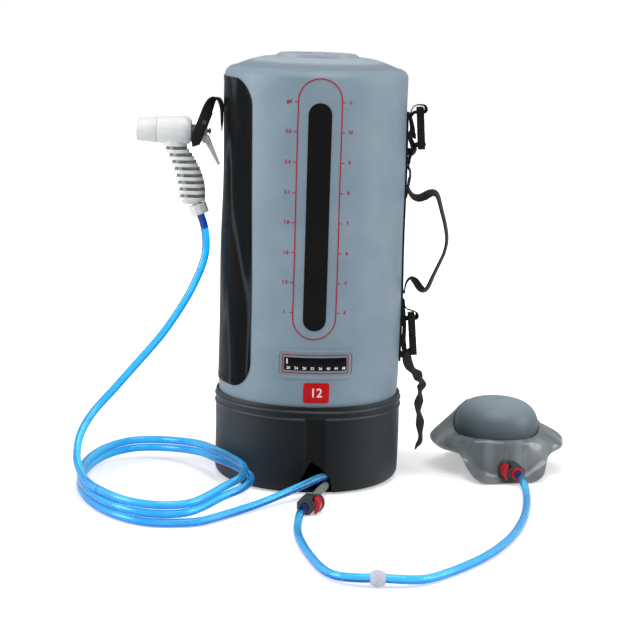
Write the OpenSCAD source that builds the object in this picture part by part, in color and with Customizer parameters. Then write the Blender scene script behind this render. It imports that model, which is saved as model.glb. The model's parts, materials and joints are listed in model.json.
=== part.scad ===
// Camp shower: a soft standing water tank with a solar panel, a spray gun on a hose and a foot pump.
// Frame: millimetres, origin under the tank's centre on the floor, +Z up, level window towards -Y,
// spray gun towards -X and foot pump towards +X.

/* [Tank] */
// Outer radius of the water tank
tank_r = 100; // [92:1:106]
// Height of the shoulder where the wall meets the top panel
shoulder_z = 451; // [432:1:470]
// Rounding of the shoulder
shoulder_r = 11; // [8:1:18]
// Thickness of the tank's film
film_t = 1.5; // [1:0.1:2.5]
// Height of the water chamber's floor
floor_z = 66; // [60:1:72]
// Rise of the top panel from the shoulder to the fill neck
top_rise = 10.5; // [4:0.5:18]

/* [Fill opening] */
// Radius of the fill cap's disc
cap_r = 42; // [36:1:46]
// Thickness of the cap's disc
cap_t = 4.2; // [3:0.1:6]
// Depth of the cap's threaded plug
plug_depth = 20; // [16:1:22]
// Wall of the fill neck round the cap
neck_wall = 2.2; // [1.5:0.1:4]
// Width of the ledge that the gasket lies on
ledge_w = 6; // [4:0.5:8]
// Thickness of the gasket
gasket_t = 1.5; // [1:0.1:2]

/* [Base] */
// Height of the black skirt
skirt_h = 95.8; // [86:0.1:104]
// Thickness of the skirt
skirt_t = 2; // [1.5:0.1:3]
// Rounding of the skirt's lower edge
skirt_round = 10; // [6:1:14]
// Thickness of the base plate
base_t = 3; // [2:0.1:4]
// Radius of the piping on the skirt
piping_r = 1.2; // [0.8:0.1:2]

/* [Tank details] */
// Width of the level window
window_w = 24.4; // [18:0.2:30]
// Length of the level window
window_h = 240; // [200:1:250]
// Width of the thermometer strip
thermo_w = 68; // [54:1:76]
// Height of the thermometer strip
thermo_h = 14; // [10:0.5:18]
// Margin of the welded frame round the thermometer
thermo_margin = 9; // [6:0.5:10]
// Width of the capacity badge
badge_w = 28; // [22:0.5:34]
// Height of the capacity badge
badge_h = 22; // [18:0.5:24]
// Width of the solar panel, measured straight across
panel_w = 154; // [130:1:166]
// Height of the solar panel
panel_h = 343; // [300:1:348]
// Corner radius of the solar panel
panel_corner = 30; // [15:1:40]
// Thickness of films welded on the tank
patch_t = 0.6; // [0.4:0.1:0.6]

/* [Spray gun] */
// Height of the gun's barrel axis
gun_z = 378; // [370:1:388]
// Distance from the tank's wall to the barrel's rear face
gun_standoff = 37; // [36:1:42]
// Radius of the barrel at its rear
barrel_r = 16; // [14:0.1:17]
// Length of the barrel from its rear face to the nozzle
barrel_l = 35; // [32:1:40]
// Length of the nozzle ring
nozzle_l = 22; // [18:1:26]
// Radius of the nozzle at its front
nozzle_r = 12.6; // [11.5:0.1:13]
// Depth of the grip from side to side
grip_depth = 22; // [19:0.5:25]
// Height of one rib of the grip, and of the groove below it
rib_h = 3.7; // [3.3:0.1:4.2]
// Depth of the grip's grooves
groove_depth = 2.5; // [1.5:0.1:3.5]
// Radius of the valve stem
stem_r = 1.8; // [1.4:0.1:2]
// Radius of the trigger's pin
pin_r = 1.5; // [1:0.1:1.8]
// Length of the trigger's lever
lever_l = 29.5; // [24:0.5:30]

/* [Straps] */
// Width of the webbing
web_w = 16; // [12:0.5:16]
// Thickness of the webbing
web_t = 1.4; // [1:0.1:1.6]
// Width of the holster strap
holster_w = 12; // [10:0.5:12]
// Width of a buckle
buckle_w = 26; // [24:0.5:30]
// Thickness of a buckle
buckle_t = 7.5; // [7:0.1:8]
// Length of a closed buckle
buckle_l = 45; // [44:0.5:46]

/* [Hoses] */
// Outer diameter of the hoses
hose_d = 8.5; // [7:0.1:8.8]
// Loops of the hose coil
coil_turns = 2.16; // [2.1:0.02:2.24]

/* [Couplings] */
// Half width of a coupling's eight-sided body
coupling_r = 9.2; // [8.4:0.1:9.6]
// Length of a coupling's body
coupling_l = 20; // [17:0.5:22]
// Radius of the pipes that plug into the couplings
pipe_r = 4.5; // [4:0.1:4.6]
// Radius of the bore through the air fittings
bore_r = 2.6; // [2:0.1:3]
// Travel of a release button
button_travel = 2.5; // [1.5:0.1:3]
// Radius of the check valve's body
valve_r = 7.75; // [7:0.1:9]
// Length of the check valve's body
valve_l = 14; // [13:0.5:16]

/* [Foot pump] */
// Radius of the pump's dome
dome_r = 49; // [44:1:50]
// Height of the dome
dome_h = 41; // [36:1:46]
// Height of the dome's rim over the floor
dome_z = 40; // [39:1:44]
// Wall of the dome
dome_wall = 2.2; // [1.8:0.1:3]
// Radius of the film skirt between its lobes
film_r = 58; // [56:1:62]
// Length of the film skirt's lobes
lobe_l = 21; // [14:1:24]
// Height of the side lobes' tips over the floor
wing_z = 25; // [15:1:28]

/* [Hidden] */
$fn = 64;
// Clearance between pieces that are fixed to each other, and between pieces that move
seat = 0.1;
run = 0.3;
// Clearance of a pin or stem in its bore
pin_gap = 0.08;

// Heights that stack on each other
neck_flat_z = shoulder_z + top_rise;
ledge_z = neck_flat_z - 1.8;
cap_z = ledge_z + gasket_t;
neck_in_r = cap_r + 0.5;
neck_out_r = neck_in_r + neck_wall;
plug_r = cap_r - ledge_w;
flange_w = 8;
skirt_in_r = tank_r + 0.5;
skirt_r = skirt_in_r + skirt_t;
detail_gap = 4;
badge_z = skirt_h + detail_gap + badge_h / 2;
frame_w = thermo_w + 2 * thermo_margin;
frame_h = thermo_h + 2 * thermo_margin;
thermo_z = badge_z + badge_h / 2 + detail_gap + frame_h / 2;
window_z = thermo_z + frame_h / 2 + 5 * detail_gap + window_h / 2;
panel_z = skirt_h + detail_gap / 2 + panel_h / 2;
skin_r = tank_r + seat + patch_t;

// Angles of the details round the wall, from the front towards +X
window_turn = 3;
thermo_turn = 4.7;
badge_turn = 5.4;
side_turn = 90;

// Small helpers for points and directions
function unit(v) = v / norm(v);
function lerp(a, b, s) = a + (b - a) * s;
function tangents(p) = [for (i = [0:len(p) - 1]) unit(p[min(i + 1, len(p) - 1)] - p[max(i - 1, 0)])];
function path_length(p) = len(p) < 2 ? 0 : sum_steps(p, len(p) - 1);
function sum_steps(p, i) = i == 0 ? 0 : norm(p[i] - p[i - 1]) + sum_steps(p, i - 1);
function heading(turn) = [sin(turn), -cos(turn), 0];

// Shapes shared by several pieces
module rounded_rect(w, h, r) {
    square([w - 2 * r, h], center = true);
    square([w, h - 2 * r], center = true);
    for (x = [-1, 1], y = [-1, 1]) {
        translate([x * (w / 2 - r), y * (h / 2 - r)]) circle(r);
    }
}

module stadium(w, d) {
    square([w - d, d], center = true);
    for (x = [-1, 1]) {
        translate([x * (w - d) / 2, 0]) circle(d = d);
    }
}

module ring(r_out, r_in, h) {
    difference() {
        cylinder(h = h, r = r_out);
        translate([0, 0, -1]) cylinder(h = h + 2, r = r_in);
    }
}

// A film patch that follows the tank's wall, centred at an angle and a height
module wall_patch(turn, z, w, h, r, standoff, t) {
    in_r = tank_r + standoff;
    rotate([0, 0, turn]) intersection() {
        translate([0, 0, z - h / 2 - 1]) ring(in_r + t, in_r, h + 2);
        translate([0, -in_r / 5, z]) rotate([90, 0, 0]) linear_extrude(in_r) rounded_rect(w, h, r);
    }
}

// A round bar between two points
module rod(a, b, r) {
    d = b - a;
    translate(a) rotate([0, acos(d[2] / norm(d)), atan2(d[1], d[0])]) cylinder(h = norm(d), r = r);
}

// Webbing bent in the XZ plane along points, with its width along Y
module band(points, t, w) {
    last = len(points) - 1;
    normals = [for (v = tangents(points)) [-v[1], v[0]]];
    left = [for (i = [0:last]) points[i] + normals[i] * t / 2];
    right = [for (i = [last:-1:0]) points[i] - normals[i] * t / 2];
    rotate([90, 0, 0]) linear_extrude(w, center = true) polygon(concat(left, right));
}

// Triangles that close a skin of n rings with k points each, and its two ends
function skin_faces(n, k) = concat(
    [for (i = [0:n - 2], j = [0:k - 1]) [i * k + j, (i + 1) * k + j, (i + 1) * k + (j + 1) % k]],
    [for (i = [0:n - 2], j = [0:k - 1]) [i * k + j, (i + 1) * k + (j + 1) % k, i * k + (j + 1) % k]],
    [for (j = [1:k - 2]) [0, j, j + 1]],
    [for (j = [1:k - 2]) [(n - 1) * k, (n - 1) * k + j + 1, (n - 1) * k + j]]
);

// A round tube swept along points; aside is a direction that the route never takes
module tube(points, r, sides, aside) {
    ways = tangents(points);
    rings = [for (i = [0:len(points) - 1])
        let (across = unit(cross(aside, ways[i])), over = cross(ways[i], across))
        for (j = [0:sides - 1])
            points[i] + r * (cos(360 * j / sides) * across + sin(360 * j / sides) * over)];
    polyhedron(rings, skin_faces(len(points), sides), convexity = 8);
}

// A flat strap swept along points, each with the direction of the strap's width
module strap(points, widths, w, t) {
    ways = tangents(points);
    rings = [for (i = [0:len(points) - 1])
        let (over = unit(cross(ways[i], widths[i])), across = cross(over, ways[i]))
        for (c = [[-1, -1], [1, -1], [1, 1], [-1, 1]])
            points[i] + across * c[0] * w / 2 + over * c[1] * t / 2];
    polyhedron(rings, skin_faces(len(points), 4), convexity = 8);
}

// Tank shell
module shell_profile(r, z_top, round_r) {
    square([r, z_top - round_r]);
    square([r - round_r, z_top]);
    translate([r - round_r, z_top - round_r]) circle(round_r);
}

module tank_wall() {
    lap = 8;
    color("slategray") rotate_extrude($fn = 128) difference() {
        shell_profile(tank_r, shoulder_z, shoulder_r);
        shell_profile(tank_r - film_t, shoulder_z - film_t, shoulder_r - film_t);
        square([tank_r - shoulder_r, shoulder_z + 1]);
        square([tank_r + 1, floor_z - lap]);
    }
}

module top_panel() {
    out_r = tank_r - shoulder_r - seat;
    hole_r = neck_out_r + seat;
    flat_r = neck_out_r + flange_w;
    color("lightslategray") rotate_extrude($fn = 128) polygon([
        [out_r, shoulder_z - film_t], [out_r, shoulder_z],
        [flat_r, neck_flat_z], [hole_r, neck_flat_z],
        [hole_r, neck_flat_z - film_t], [flat_r, neck_flat_z - film_t]
    ]);
}

module tank_floor() {
    color("dimgray") difference() {
        translate([0, 0, floor_z]) cylinder(h = film_t, r = tank_r - film_t - seat, $fn = 128);
        for (p = [outlet_pos, inlet_pos]) {
            translate([p[0], p[1], floor_z - 1]) cylinder(h = film_t + 2, r = thread_r + seat);
        }
    }
}

// Fill opening
neck_bottom_z = ledge_z - plug_depth;

module fill_neck() {
    color("gray") difference() {
        union() {
            translate([0, 0, neck_bottom_z])
                cylinder(h = neck_flat_z + neck_wall - neck_bottom_z, r = neck_out_r, $fn = 96);
            translate([0, 0, neck_flat_z - film_t - seat - 2])
                cylinder(h = 2, r = neck_out_r + flange_w - 1, $fn = 96);
        }
        translate([0, 0, ledge_z]) cylinder(h = cap_t + gasket_t + neck_wall + 5, r = neck_in_r, $fn = 96);
        translate([0, 0, neck_bottom_z - 1]) cylinder(h = plug_depth + 2, r = plug_r, $fn = 96);
    }
}

module fill_cap() {
    grip_w = cap_r / 5;
    plug_wall = 2.5;
    color("lightsteelblue") difference() {
        union() {
            translate([0, 0, cap_z]) cylinder(h = cap_t, r = cap_r, $fn = 96);
            translate([0, 0, cap_z - plug_depth + 2])
                ring(plug_r - run, plug_r - run - plug_wall, plug_depth - 1, $fn = 96);
        }
        for (side = [-1, 1]) {
            translate([0, 0, cap_z + cap_t / 2]) intersection() {
                cylinder(h = cap_t, r = cap_r * 0.72);
                translate([side * (grip_w + cap_r) / 2 - cap_r / 2 + side * grip_w / 4, -cap_r, 0])
                    cube([cap_r, 2 * cap_r, cap_t]);
            }
        }
    }
}

module cap_gasket() {
    color("black") translate([0, 0, ledge_z]) ring(cap_r, plug_r + run, gasket_t, $fn = 96);
}

// Films and badges on the wall
module level_window() {
    color("black") wall_patch(window_turn, window_z, window_w, window_h, window_w / 2 - 0.1, seat, patch_t);
}

module thermometer_frame() {
    rim = 4;
    color("slategray") difference() {
        wall_patch(thermo_turn, thermo_z, frame_w, frame_h, 8, seat, patch_t * 2);
        wall_patch(thermo_turn, thermo_z, frame_w - 2 * rim, frame_h - 2 * rim, 5, -1, patch_t * 2 + 3);
    }
}

module thermometer_strip() {
    color("black") wall_patch(thermo_turn, thermo_z, thermo_w, thermo_h, 2, seat, patch_t);
}

module capacity_badge() {
    color("crimson") wall_patch(badge_turn, badge_z, badge_w, badge_h, 2.5, seat, patch_t);
}

module solar_panel() {
    color("black") wall_patch(-side_turn, panel_z, panel_w, panel_h, panel_corner, seat, patch_t);
}

// Base
module skirt_outline(r, corner) {
    translate([0, corner]) square([r, skirt_h - corner]);
    square([r - corner, skirt_h]);
    translate([r - corner, corner]) circle(corner);
}

// The notch for the hoses, measured from the place where the water hose crosses the skirt, and height
notch_points = [[-32.4, -1], [-9.9, 34.5], [-0.6, 30], [9.6, 20.5], [13.2, -1]];

module base_skirt() {
    notch = [for (p = notch_points) [lead_cross_x + p[0], p[1]]];
    color("darkslategray") difference() {
        rotate_extrude($fn = 128) difference() {
            skirt_outline(skirt_r, skirt_round);
            translate([0, skirt_t]) skirt_outline(skirt_in_r, skirt_round - skirt_t);
            translate([0, -1]) square([skirt_r - skirt_round, skirt_h + 2]);
        }
        rotate([90, 0, 0]) translate([0, 0, tank_r * 0.6]) linear_extrude(tank_r) polygon(notch);
    }
}

module skirt_piping() {
    piping_step = 7.5;
    color("black") for (i = [0, 1]) {
        translate([0, 0, skirt_h - 6 - i * piping_step]) rotate_extrude($fn = 128)
            translate([skirt_r + piping_r + seat, 0]) circle(piping_r, $fn = 24);
    }
}

module base_plate() {
    color("black") cylinder(h = base_t, r = skirt_r - skirt_round - seat, $fn = 128);
}

// Fittings through the chamber floor
fitting_gap = 3.95;
thread_r = 7;
nut_out_r = thread_r + 4;
outlet_ring = tank_r - film_t - nut_out_r - fitting_gap;
inlet_ring = outlet_ring - 20.4;
outlet_pos = outlet_ring * [sin(47.9), -cos(47.9)];
inlet_pos = inlet_ring * [sin(29.4), -cos(29.4)];
outlet_turn = -46;
inlet_turn = -13;
outlet_z = 18.8;
nut_h = 6;
elbow_r = 6;
flange_r = 13;
outlet_reach = 16;
inlet_reach = 20;

// An elbow that hangs under the chamber floor and ends in a level pipe
module elbow(pos, z, turn, reach, r) {
    way = heading(turn);
    middle = [pos[0], pos[1], z];
    difference() {
        union() {
            translate(middle) cylinder(h = floor_z - z, r = elbow_r);
            translate(middle) sphere(elbow_r);
            translate([pos[0], pos[1], floor_z - 3]) cylinder(h = 3 - seat, r = flange_r);
            translate([pos[0], pos[1], floor_z - 1]) cylinder(h = film_t + nut_h + 3, r = thread_r);
            rod(middle, middle + way * reach, r);
        }
        translate(middle) cylinder(h = floor_z - z + film_t + nut_h + 5, r = bore_r);
        rod(middle, middle + way * (reach + 1), bore_r);
    }
}

module water_outlet() {
    color("white") elbow(outlet_pos, outlet_z, outlet_turn, outlet_reach, hose_d / 2 + 0.4);
}

module air_inlet() {
    color("white") elbow(inlet_pos, coupling_r, inlet_turn, inlet_reach, pipe_r + 1);
}

module bulkhead_nuts() {
    color("gray") for (p = [outlet_pos, inlet_pos]) {
        translate([p[0], p[1], floor_z + film_t + seat]) difference() {
            cylinder(h = nut_h, r = nut_out_r, $fn = 6);
            translate([0, 0, -1]) cylinder(h = nut_h + 2, r = thread_r + seat);
        }
    }
}

// The clear pipe that leaves through the skirt's notch and plugs into the tank coupling
inlet_way = heading(inlet_turn);
inlet_face = [inlet_pos[0], inlet_pos[1], coupling_r] + inlet_way * inlet_reach;
spigot_l = 90;
tank_coupling_pos = inlet_face + inlet_way * (spigot_l + coupling_l / 2);
plug_in = 9;

module inlet_spigot() {
    color("whitesmoke") difference() {
        rod(inlet_face + inlet_way * seat, inlet_face + inlet_way * (spigot_l + plug_in), pipe_r);
        rod(inlet_face - inlet_way, inlet_face + inlet_way * (spigot_l + plug_in + 1), bore_r);
    }
}

// Holster strap: sewn to the wall, over an arch, round the gun's rear gland and back up
strap_foot = tank_r + 2.2;
holster_points = [
    [0, 0, 0], [0, 0, 17], [-0.6, 0, 28], [-3.3, 0, 34.5], [-7.8, -0.5, 36.5],
    [-11.8, -2.5, 32.5], [-15.3, -6, 23.5], [-19.3, -9.5, 12], [-23.3, -11.8, 1],
    [-26.3, -10.6, -8], [-27.4, -6.4, -14], [-27.6, 0, -16.2], [-27.4, 6.4, -14],
    [-26.3, 10.6, -8], [-23.3, 11.8, 1], [-19.3, 9.9, 12], [-15.8, 7.5, 21]
];
leg_way = [0.92, 0, -0.38];
holster_widths = concat(
    [for (i = [0:3]) [0, 1, 0]], [[0.25, 0.95, 0], [0.6, 0.75, -0.25], [0.85, 0.35, -0.37]],
    [for (i = [7:9]) leg_way], [for (i = [10:12]) [1, 0, -0.1]], [for (i = [13:16]) leg_way]
);

module holster_strap() {
    lift = [-strap_foot, 0, gun_z];
    color("black") strap([for (p = holster_points) p + lift], holster_widths, holster_w, web_t);
}

module holster_stud() {
    stud = holster_points[7] + [-strap_foot + 1, -web_t / 2 - 0.9, gun_z - 2];
    color("silver") translate(stud) rotate([90, 0, 0]) cylinder(h = 1.6, r = 2.4);
}

// Webbing, buckles and carry handle on the right side
side_x = tank_r + seat + web_t;
webbing_top = 405;
webbing_bottom = 130;

module side_webbing() {
    color("black") wall_patch(side_turn, (webbing_top + webbing_bottom) / 2, web_w,
        webbing_top - webbing_bottom, 2, seat, web_t);
}

// Places on the straps: distance from the tank's wall, and height
function off_wall(points) = [for (p = points) [tank_r + p[0], p[1]]];
handle_points = [
    [3, 334], [3.3, 322], [8, 314], [14.5, 311.5], [21, 313.5], [27, 317], [32.5, 317.6], [36.5, 313],
    [41, 298], [45.5, 282], [47.8, 266], [45.5, 252], [41, 241], [34, 225], [29, 213], [25, 209.6],
    [20.5, 212], [14.5, 220], [9.5, 222.5], [5, 217], [3, 206]
];

module carry_handle() {
    color("black") band(off_wall(handle_points), web_t, web_w);
}

// A side release buckle, socket on top, in a frame at its middle with its thickness along X
slot_h = 4;
bar_h = 3;
buckle_split = 1.2;
tongue_l = 12;

module buckle_slot(z) {
    translate([0, 0, z]) cube([buckle_t + 2, web_w + 1.2, slot_h], center = true);
}

module buckle_socket() {
    top = buckle_l / 2;
    difference() {
        translate([-buckle_t / 2, -buckle_w / 2, -buckle_split + run])
            cube([buckle_t, buckle_w, top + buckle_split - run]);
        translate([-buckle_t / 4 - run, -buckle_w * 0.38 - run, -buckle_split])
            cube([buckle_t / 2 + 2 * run, buckle_w * 0.76 + 2 * run, tongue_l + buckle_split]);
        buckle_slot(top - bar_h - slot_h / 2);
    }
}

module buckle_plug() {
    bottom = -buckle_l / 2;
    difference() {
        translate([-buckle_t / 2, -buckle_w / 2, bottom]) cube([buckle_t, buckle_w, -bottom - buckle_split]);
        buckle_slot(bottom + bar_h + slot_h / 2);
    }
    difference() {
        translate([-buckle_t / 4, -buckle_w * 0.38, -buckle_split - 0.5])
            cube([buckle_t / 2, buckle_w * 0.76, tongue_l + buckle_split - run]);
        for (side = [-1, 1]) {
            translate([-buckle_t, side * buckle_w * 0.15 - buckle_w * 0.06, -buckle_split])
                cube([2 * buckle_t, buckle_w * 0.12, tongue_l * 0.7]);
        }
    }
}

// Each buckle's middle, as a distance from the wall and a height, and its lean
upper_buckle = [14.5, 388];
upper_lean = -4;
lower_buckle = [13.6, 161];
lower_lean = -5;

module at_buckle(place, lean) {
    translate([tank_r + place[0], 0, place[1]]) rotate([0, lean, 0]) children();
}

module upper_buckle_socket() {
    color("black") at_buckle(upper_buckle, upper_lean) buckle_socket();
}

module upper_buckle_plug() {
    color("black") at_buckle(upper_buckle, upper_lean) buckle_plug();
}

module lower_buckle_socket() {
    color("black") at_buckle(lower_buckle, lower_lean) buckle_socket();
}

module lower_buckle_plug() {
    color("black") at_buckle(lower_buckle, lower_lean) buckle_plug();
}

upper_loop_points = [
    [2.9, 394], [3.4, 400], [6, 404.2], [9.5, 405.3], [17.8, 405.8], [19.6, 408.8], [17.8, 412.4],
    [12.5, 413.2], [7.5, 412.2], [4.2, 408.4], [3.1, 403.6]
];
upper_stub_points = [[2.9, 345], [3.4, 355], [6.5, 364], [10.5, 369.8], [15.7, 370.5], [20.6, 371]];
lower_loop_points = [
    [2.9, 168], [3.6, 174.5], [7, 177.8], [16.4, 178.6], [18.4, 181], [17, 184.8], [11.5, 186.8],
    [6.5, 188.2], [3.4, 193], [2.9, 199]
];
tail_points = [
    [18.6, 144.2], [15.1, 143.7], [11, 143], [8.8, 137], [10.4, 127], [17, 118], [24, 110.5],
    [26.4, 102.5], [24.4, 91], [24, 74], [26.5, 57], [27, 40], [22.5, 30]
];

module buckle_webbing() {
    color("black") for (points = [upper_loop_points, upper_stub_points, lower_loop_points]) {
        band(off_wall(points), web_t, web_w);
    }
}

module strap_tail() {
    color("black") band(off_wall(tail_points), web_t, web_w);
}

// Spray gun, in a frame at the barrel's axis and rear face, with +X towards the tank
grip_top = -barrel_r;
groove_count = 8;
groove_z = -(barrel_r + 1.2);
pitch = 2 * rib_h;
grip_span = groove_count * pitch;
grip_end = groove_z - grip_span;
nut_r = 10.3;
nut_len = 11.4;
nut_lean = 20;
nut_down = [sin(nut_lean), 0, -cos(nut_lean)];
nut_top = [9.3, 0, grip_end - 4];
nut_bottom = nut_top + nut_down * nut_len;
tail_top = nut_top - nut_down * 15;
tail_r = 4.4;
feed_r = 3.5;
chamber_r = 7;
chamber_l = 24;
feed_top = [-14, 0, -chamber_r + 1];
feed_way = unit(feed_top - tail_top);
gland_r = 9.5;
gland_drop = 3;
gland_start = 2.1;
gland_end = 13;
pivot = [18, 0, -9];
ear_in = 4;
ear_t = 3;
spigot_r = barrel_r - 4.3;
rear_round = 6;
rear_r = barrel_r - 1.2;
spigot_len = 6;
nozzle_back_r = barrel_r - 1.6;
gun_origin = [-(tank_r + gun_standoff), 0, gun_z];

module at_gun() {
    translate(gun_origin) children();
}

// The grip's middle and width at a depth under the barrel
function grip_share(z) = max(0, min(1, (groove_z - z) / grip_span));
function grip_x(z) = -15.2 + 40.4 * grip_share(z) - 21.9 * pow(grip_share(z), 2);
function grip_w(z) = 25.6 + 5.4 * sin(150 * grip_share(z));

module grip_slab(z, h, w, d, shift) {
    translate([grip_x(z) + shift, 0, z - h]) linear_extrude(h) stadium(w, d);
}

module gun_shape() {
    rotate([0, 90, 0]) rotate_extrude() polygon([
        [0, -barrel_l], [nozzle_back_r, -barrel_l], [barrel_r, -rear_round],
        [rear_r, -1], [rear_r - 3, 2], [0, 2]
    ]);
    translate([-barrel_l + 1, 0, 0]) rotate([0, -90, 0]) cylinder(h = spigot_len + 1, r = spigot_r);
    grip_slab(grip_top + 6, 6 - groove_z + grip_top, grip_w(0), grip_depth, 0);
    for (i = [0:groove_count - 1]) {
        z = groove_z - i * pitch;
        grip_slab(z, rib_h, grip_w(z) - groove_depth, grip_depth - 2 * groove_depth, groove_depth / 2);
        grip_slab(z - rib_h, rib_h, grip_w(z), grip_depth, 0);
    }
    grip_slab(grip_end, 3.6, grip_w(0) - 4, grip_depth - 3, 0);
}

module gun_hollow() {
    translate([-chamber_l, 0, 0]) rotate([0, 90, 0]) cylinder(h = chamber_l + 5, r = chamber_r);
    translate([-barrel_l - spigot_len - 2, 0, 0]) rotate([0, 90, 0]) cylinder(h = barrel_l, r = 3.2);
    rod(nut_bottom, tail_top - nut_down * seat, tail_r + seat);
    rod(tail_top - feed_way * 2, feed_top, feed_r + seat);
    translate(nut_bottom) rotate([0, -nut_lean, 0]) cylinder(h = nut_len + seat, r = 2 * nut_r);
}

module gun_half(side) {
    depth = 40;
    at_gun() intersection() {
        difference() {
            gun_shape();
            gun_hollow();
        }
        translate([-100, side > 0 ? seat / 2 : -depth - seat / 2, -150]) cube([200, depth, 250]);
    }
}

module gun_body_near() {
    color("white") gun_half(-1);
}

module gun_body_far() {
    color("whitesmoke") gun_half(1);
}

module spray_nozzle() {
    color("white") at_gun() translate([-barrel_l - run, 0, 0]) rotate([0, -90, 0]) difference() {
        cylinder(h = nozzle_l, r1 = nozzle_back_r, r2 = nozzle_r);
        translate([0, 0, -1]) cylinder(h = spigot_len + 2, r = spigot_r + run);
        cylinder(h = nozzle_l + 1, r = nozzle_r - 2.5);
        translate([0, 0, nozzle_l - 4]) cylinder(h = 5, r = nozzle_r - 1.6);
    }
}

module rose_plate() {
    hole_rings = [[0, 1], [3.2, 6], [6.4, 12], [8.9, 18]];
    plate_r = nozzle_r - 1.6 - seat;
    color("lightgray") at_gun() translate([-barrel_l - run - nozzle_l + 2, 0, 0]) rotate([0, 90, 0])
        difference() {
            cylinder(h = 2 - seat, r = plate_r);
            for (hole = hole_rings, i = [1:hole[1]]) {
                rotate([0, 0, 360 * i / hole[1]]) translate([hole[0] * plate_r / 10.3, 0, -1])
                    cylinder(h = 4, r = 0.55, $fn = 16);
            }
        }
}

module rear_gland() {
    ear_top = -4;
    ear_bottom = pivot[2] - 1;
    ear_r = 4.2;
    color("dimgray") at_gun() difference() {
        union() {
            translate([gland_start, 0, -gland_drop]) rotate([0, 90, 0])
                cylinder(h = gland_end - gland_start, r = gland_r);
            translate([-4, 0, 0]) rotate([0, 90, 0]) cylinder(h = 8, r = chamber_r - seat);
            for (side = [-1, 1]) {
                translate([gland_end - 1, side * (ear_in + ear_t / 2) - ear_t / 2, ear_bottom])
                    cube([pivot[0] + 1 - gland_end, ear_t, ear_top - ear_bottom]);
                translate([pivot[0], side * (ear_in + ear_t / 2) - ear_t / 2, pivot[2]]) rotate([-90, 0, 0])
                    cylinder(h = ear_t, r = ear_r);
            }
        }
        translate([-10, 0, 0]) rotate([0, 90, 0]) cylinder(h = 40, r = stem_r + pin_gap);
        translate(pivot + [0, -20, 0]) rotate([-90, 0, 0]) cylinder(h = 40, r = pin_r + pin_gap / 2);
    }
}

lever_lean = 28.3;
lever_t = 4.4;
lever_tip_t = 2.4;
lever_back = 2.2;
fork_t = 2.6;
lever_w = 2 * (ear_in - run - seat);

module trigger() {
    fork_top = 3.5;
    color("gainsboro") at_gun() difference() {
        union() {
            translate(pivot + [0, -lever_w / 2, 0]) rotate([-90, 0, 0]) cylinder(h = lever_w, r = 4);
            translate(pivot) rotate([0, -lever_lean, 0]) {
                rotate([90, 0, 0]) linear_extrude(lever_w, center = true) polygon([
                    [-lever_t / 2, 0], [lever_t / 2 + lever_back, 0],
                    [lever_tip_t / 2, -lever_l], [-lever_tip_t / 2, -lever_l]
                ]);
                translate([0, -lever_w / 2, -lever_l]) rotate([-90, 0, 0])
                    cylinder(h = lever_w, r = lever_tip_t / 2 + run);
            }
            translate([pivot[0] - fork_t / 2, -lever_w / 2, pivot[2]])
                cube([fork_t, lever_w, fork_top - pivot[2]]);
        }
        translate(pivot + [0, -20, 0]) rotate([-90, 0, 0]) cylinder(h = 40, r = pin_r + pin_gap);
        translate([pivot[0] - 10, -stem_r - run, -stem_r - 1.5]) cube([20, 2 * (stem_r + run), 20]);
    }
}

module trigger_pin() {
    color("silver") at_gun() translate(pivot + [0, -ear_in - ear_t - 0.5, 0]) rotate([-90, 0, 0])
        cylinder(h = 2 * (ear_in + ear_t) + 1, r = pin_r);
}

washer_t = 2.4;
stem_back = 23.5;

module valve_stem() {
    collar_r = 3.2;
    color("silver") at_gun() rotate([0, 90, 0]) {
        translate([0, 0, -chamber_l + run]) cylinder(h = chamber_l + stem_back - run, r = stem_r);
        translate([0, 0, gland_end + run]) cylinder(h = 1.7, r = collar_r);
        translate([0, 0, pivot[0] + 3]) cylinder(h = 1.8, r = collar_r);
    }
}

module valve_washer() {
    color("black") at_gun() translate([-chamber_l + run, 0, 0]) rotate([0, 90, 0])
        ring(chamber_r - 1.5, stem_r + seat / 2, washer_t);
}

module valve_spring() {
    spring_l = 13.6;
    color("silver") at_gun() translate([-4 - seat - spring_l, 0, 0]) rotate([0, 90, 0])
        ring(stem_r + 2.4, stem_r + 0.8, spring_l);
}

module inner_tube() {
    color("gainsboro") at_gun() difference() {
        rod(tail_top + feed_way * 2, feed_top - feed_way * 2, feed_r);
        rod(tail_top, feed_top + feed_way, feed_r - 1.2);
    }
}

module hose_tail() {
    color("gainsboro") at_gun() difference() {
        rod(nut_bottom, tail_top, tail_r);
        rod(nut_bottom + nut_down, tail_top - nut_down, bore_r);
    }
}

module hose_nut() {
    color("white") at_gun() translate(nut_bottom) rotate([0, -nut_lean, 0]) difference() {
        cylinder(h = nut_len, r = nut_r, $fn = 10);
        translate([0, 0, -1]) cylinder(h = nut_len + 2, r = tail_r + seat);
    }
}

// Water hose: from the outlet through the notch to the coil, the coil, and up to the gun
hose_r = hose_d / 2;
floor_hose_z = hose_r;
outlet_face = [outlet_pos[0], outlet_pos[1], outlet_z] + heading(outlet_turn) * outlet_reach;
outlet_way = heading(outlet_turn);
lead_cross_x = outlet_face[0] + outlet_way[0] * (-tank_r - outlet_face[1]) / outlet_way[1];
coil_centre = [-163, -101];
coil_short = 76;
coil_long = 142;
coil_tilt = 12;
coil_step = hose_d + 0.6;
loop_rings = 24;
// The loops swell out in front of the tank, over this share of a turn
coil_bulge = 27;
bulge_from = 252;
bulge_span = 73;
// The climb from layer to layer, in turns, and the loops' lean up the tank's side, in degrees
climb_from = 0.28;
climb_span = 0.3;
coil_lean = 12;
lean_from = 190;
lean_span = 160;
// How far each loop's swell lies inside the one below it
coil_fan = 7;

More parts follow.
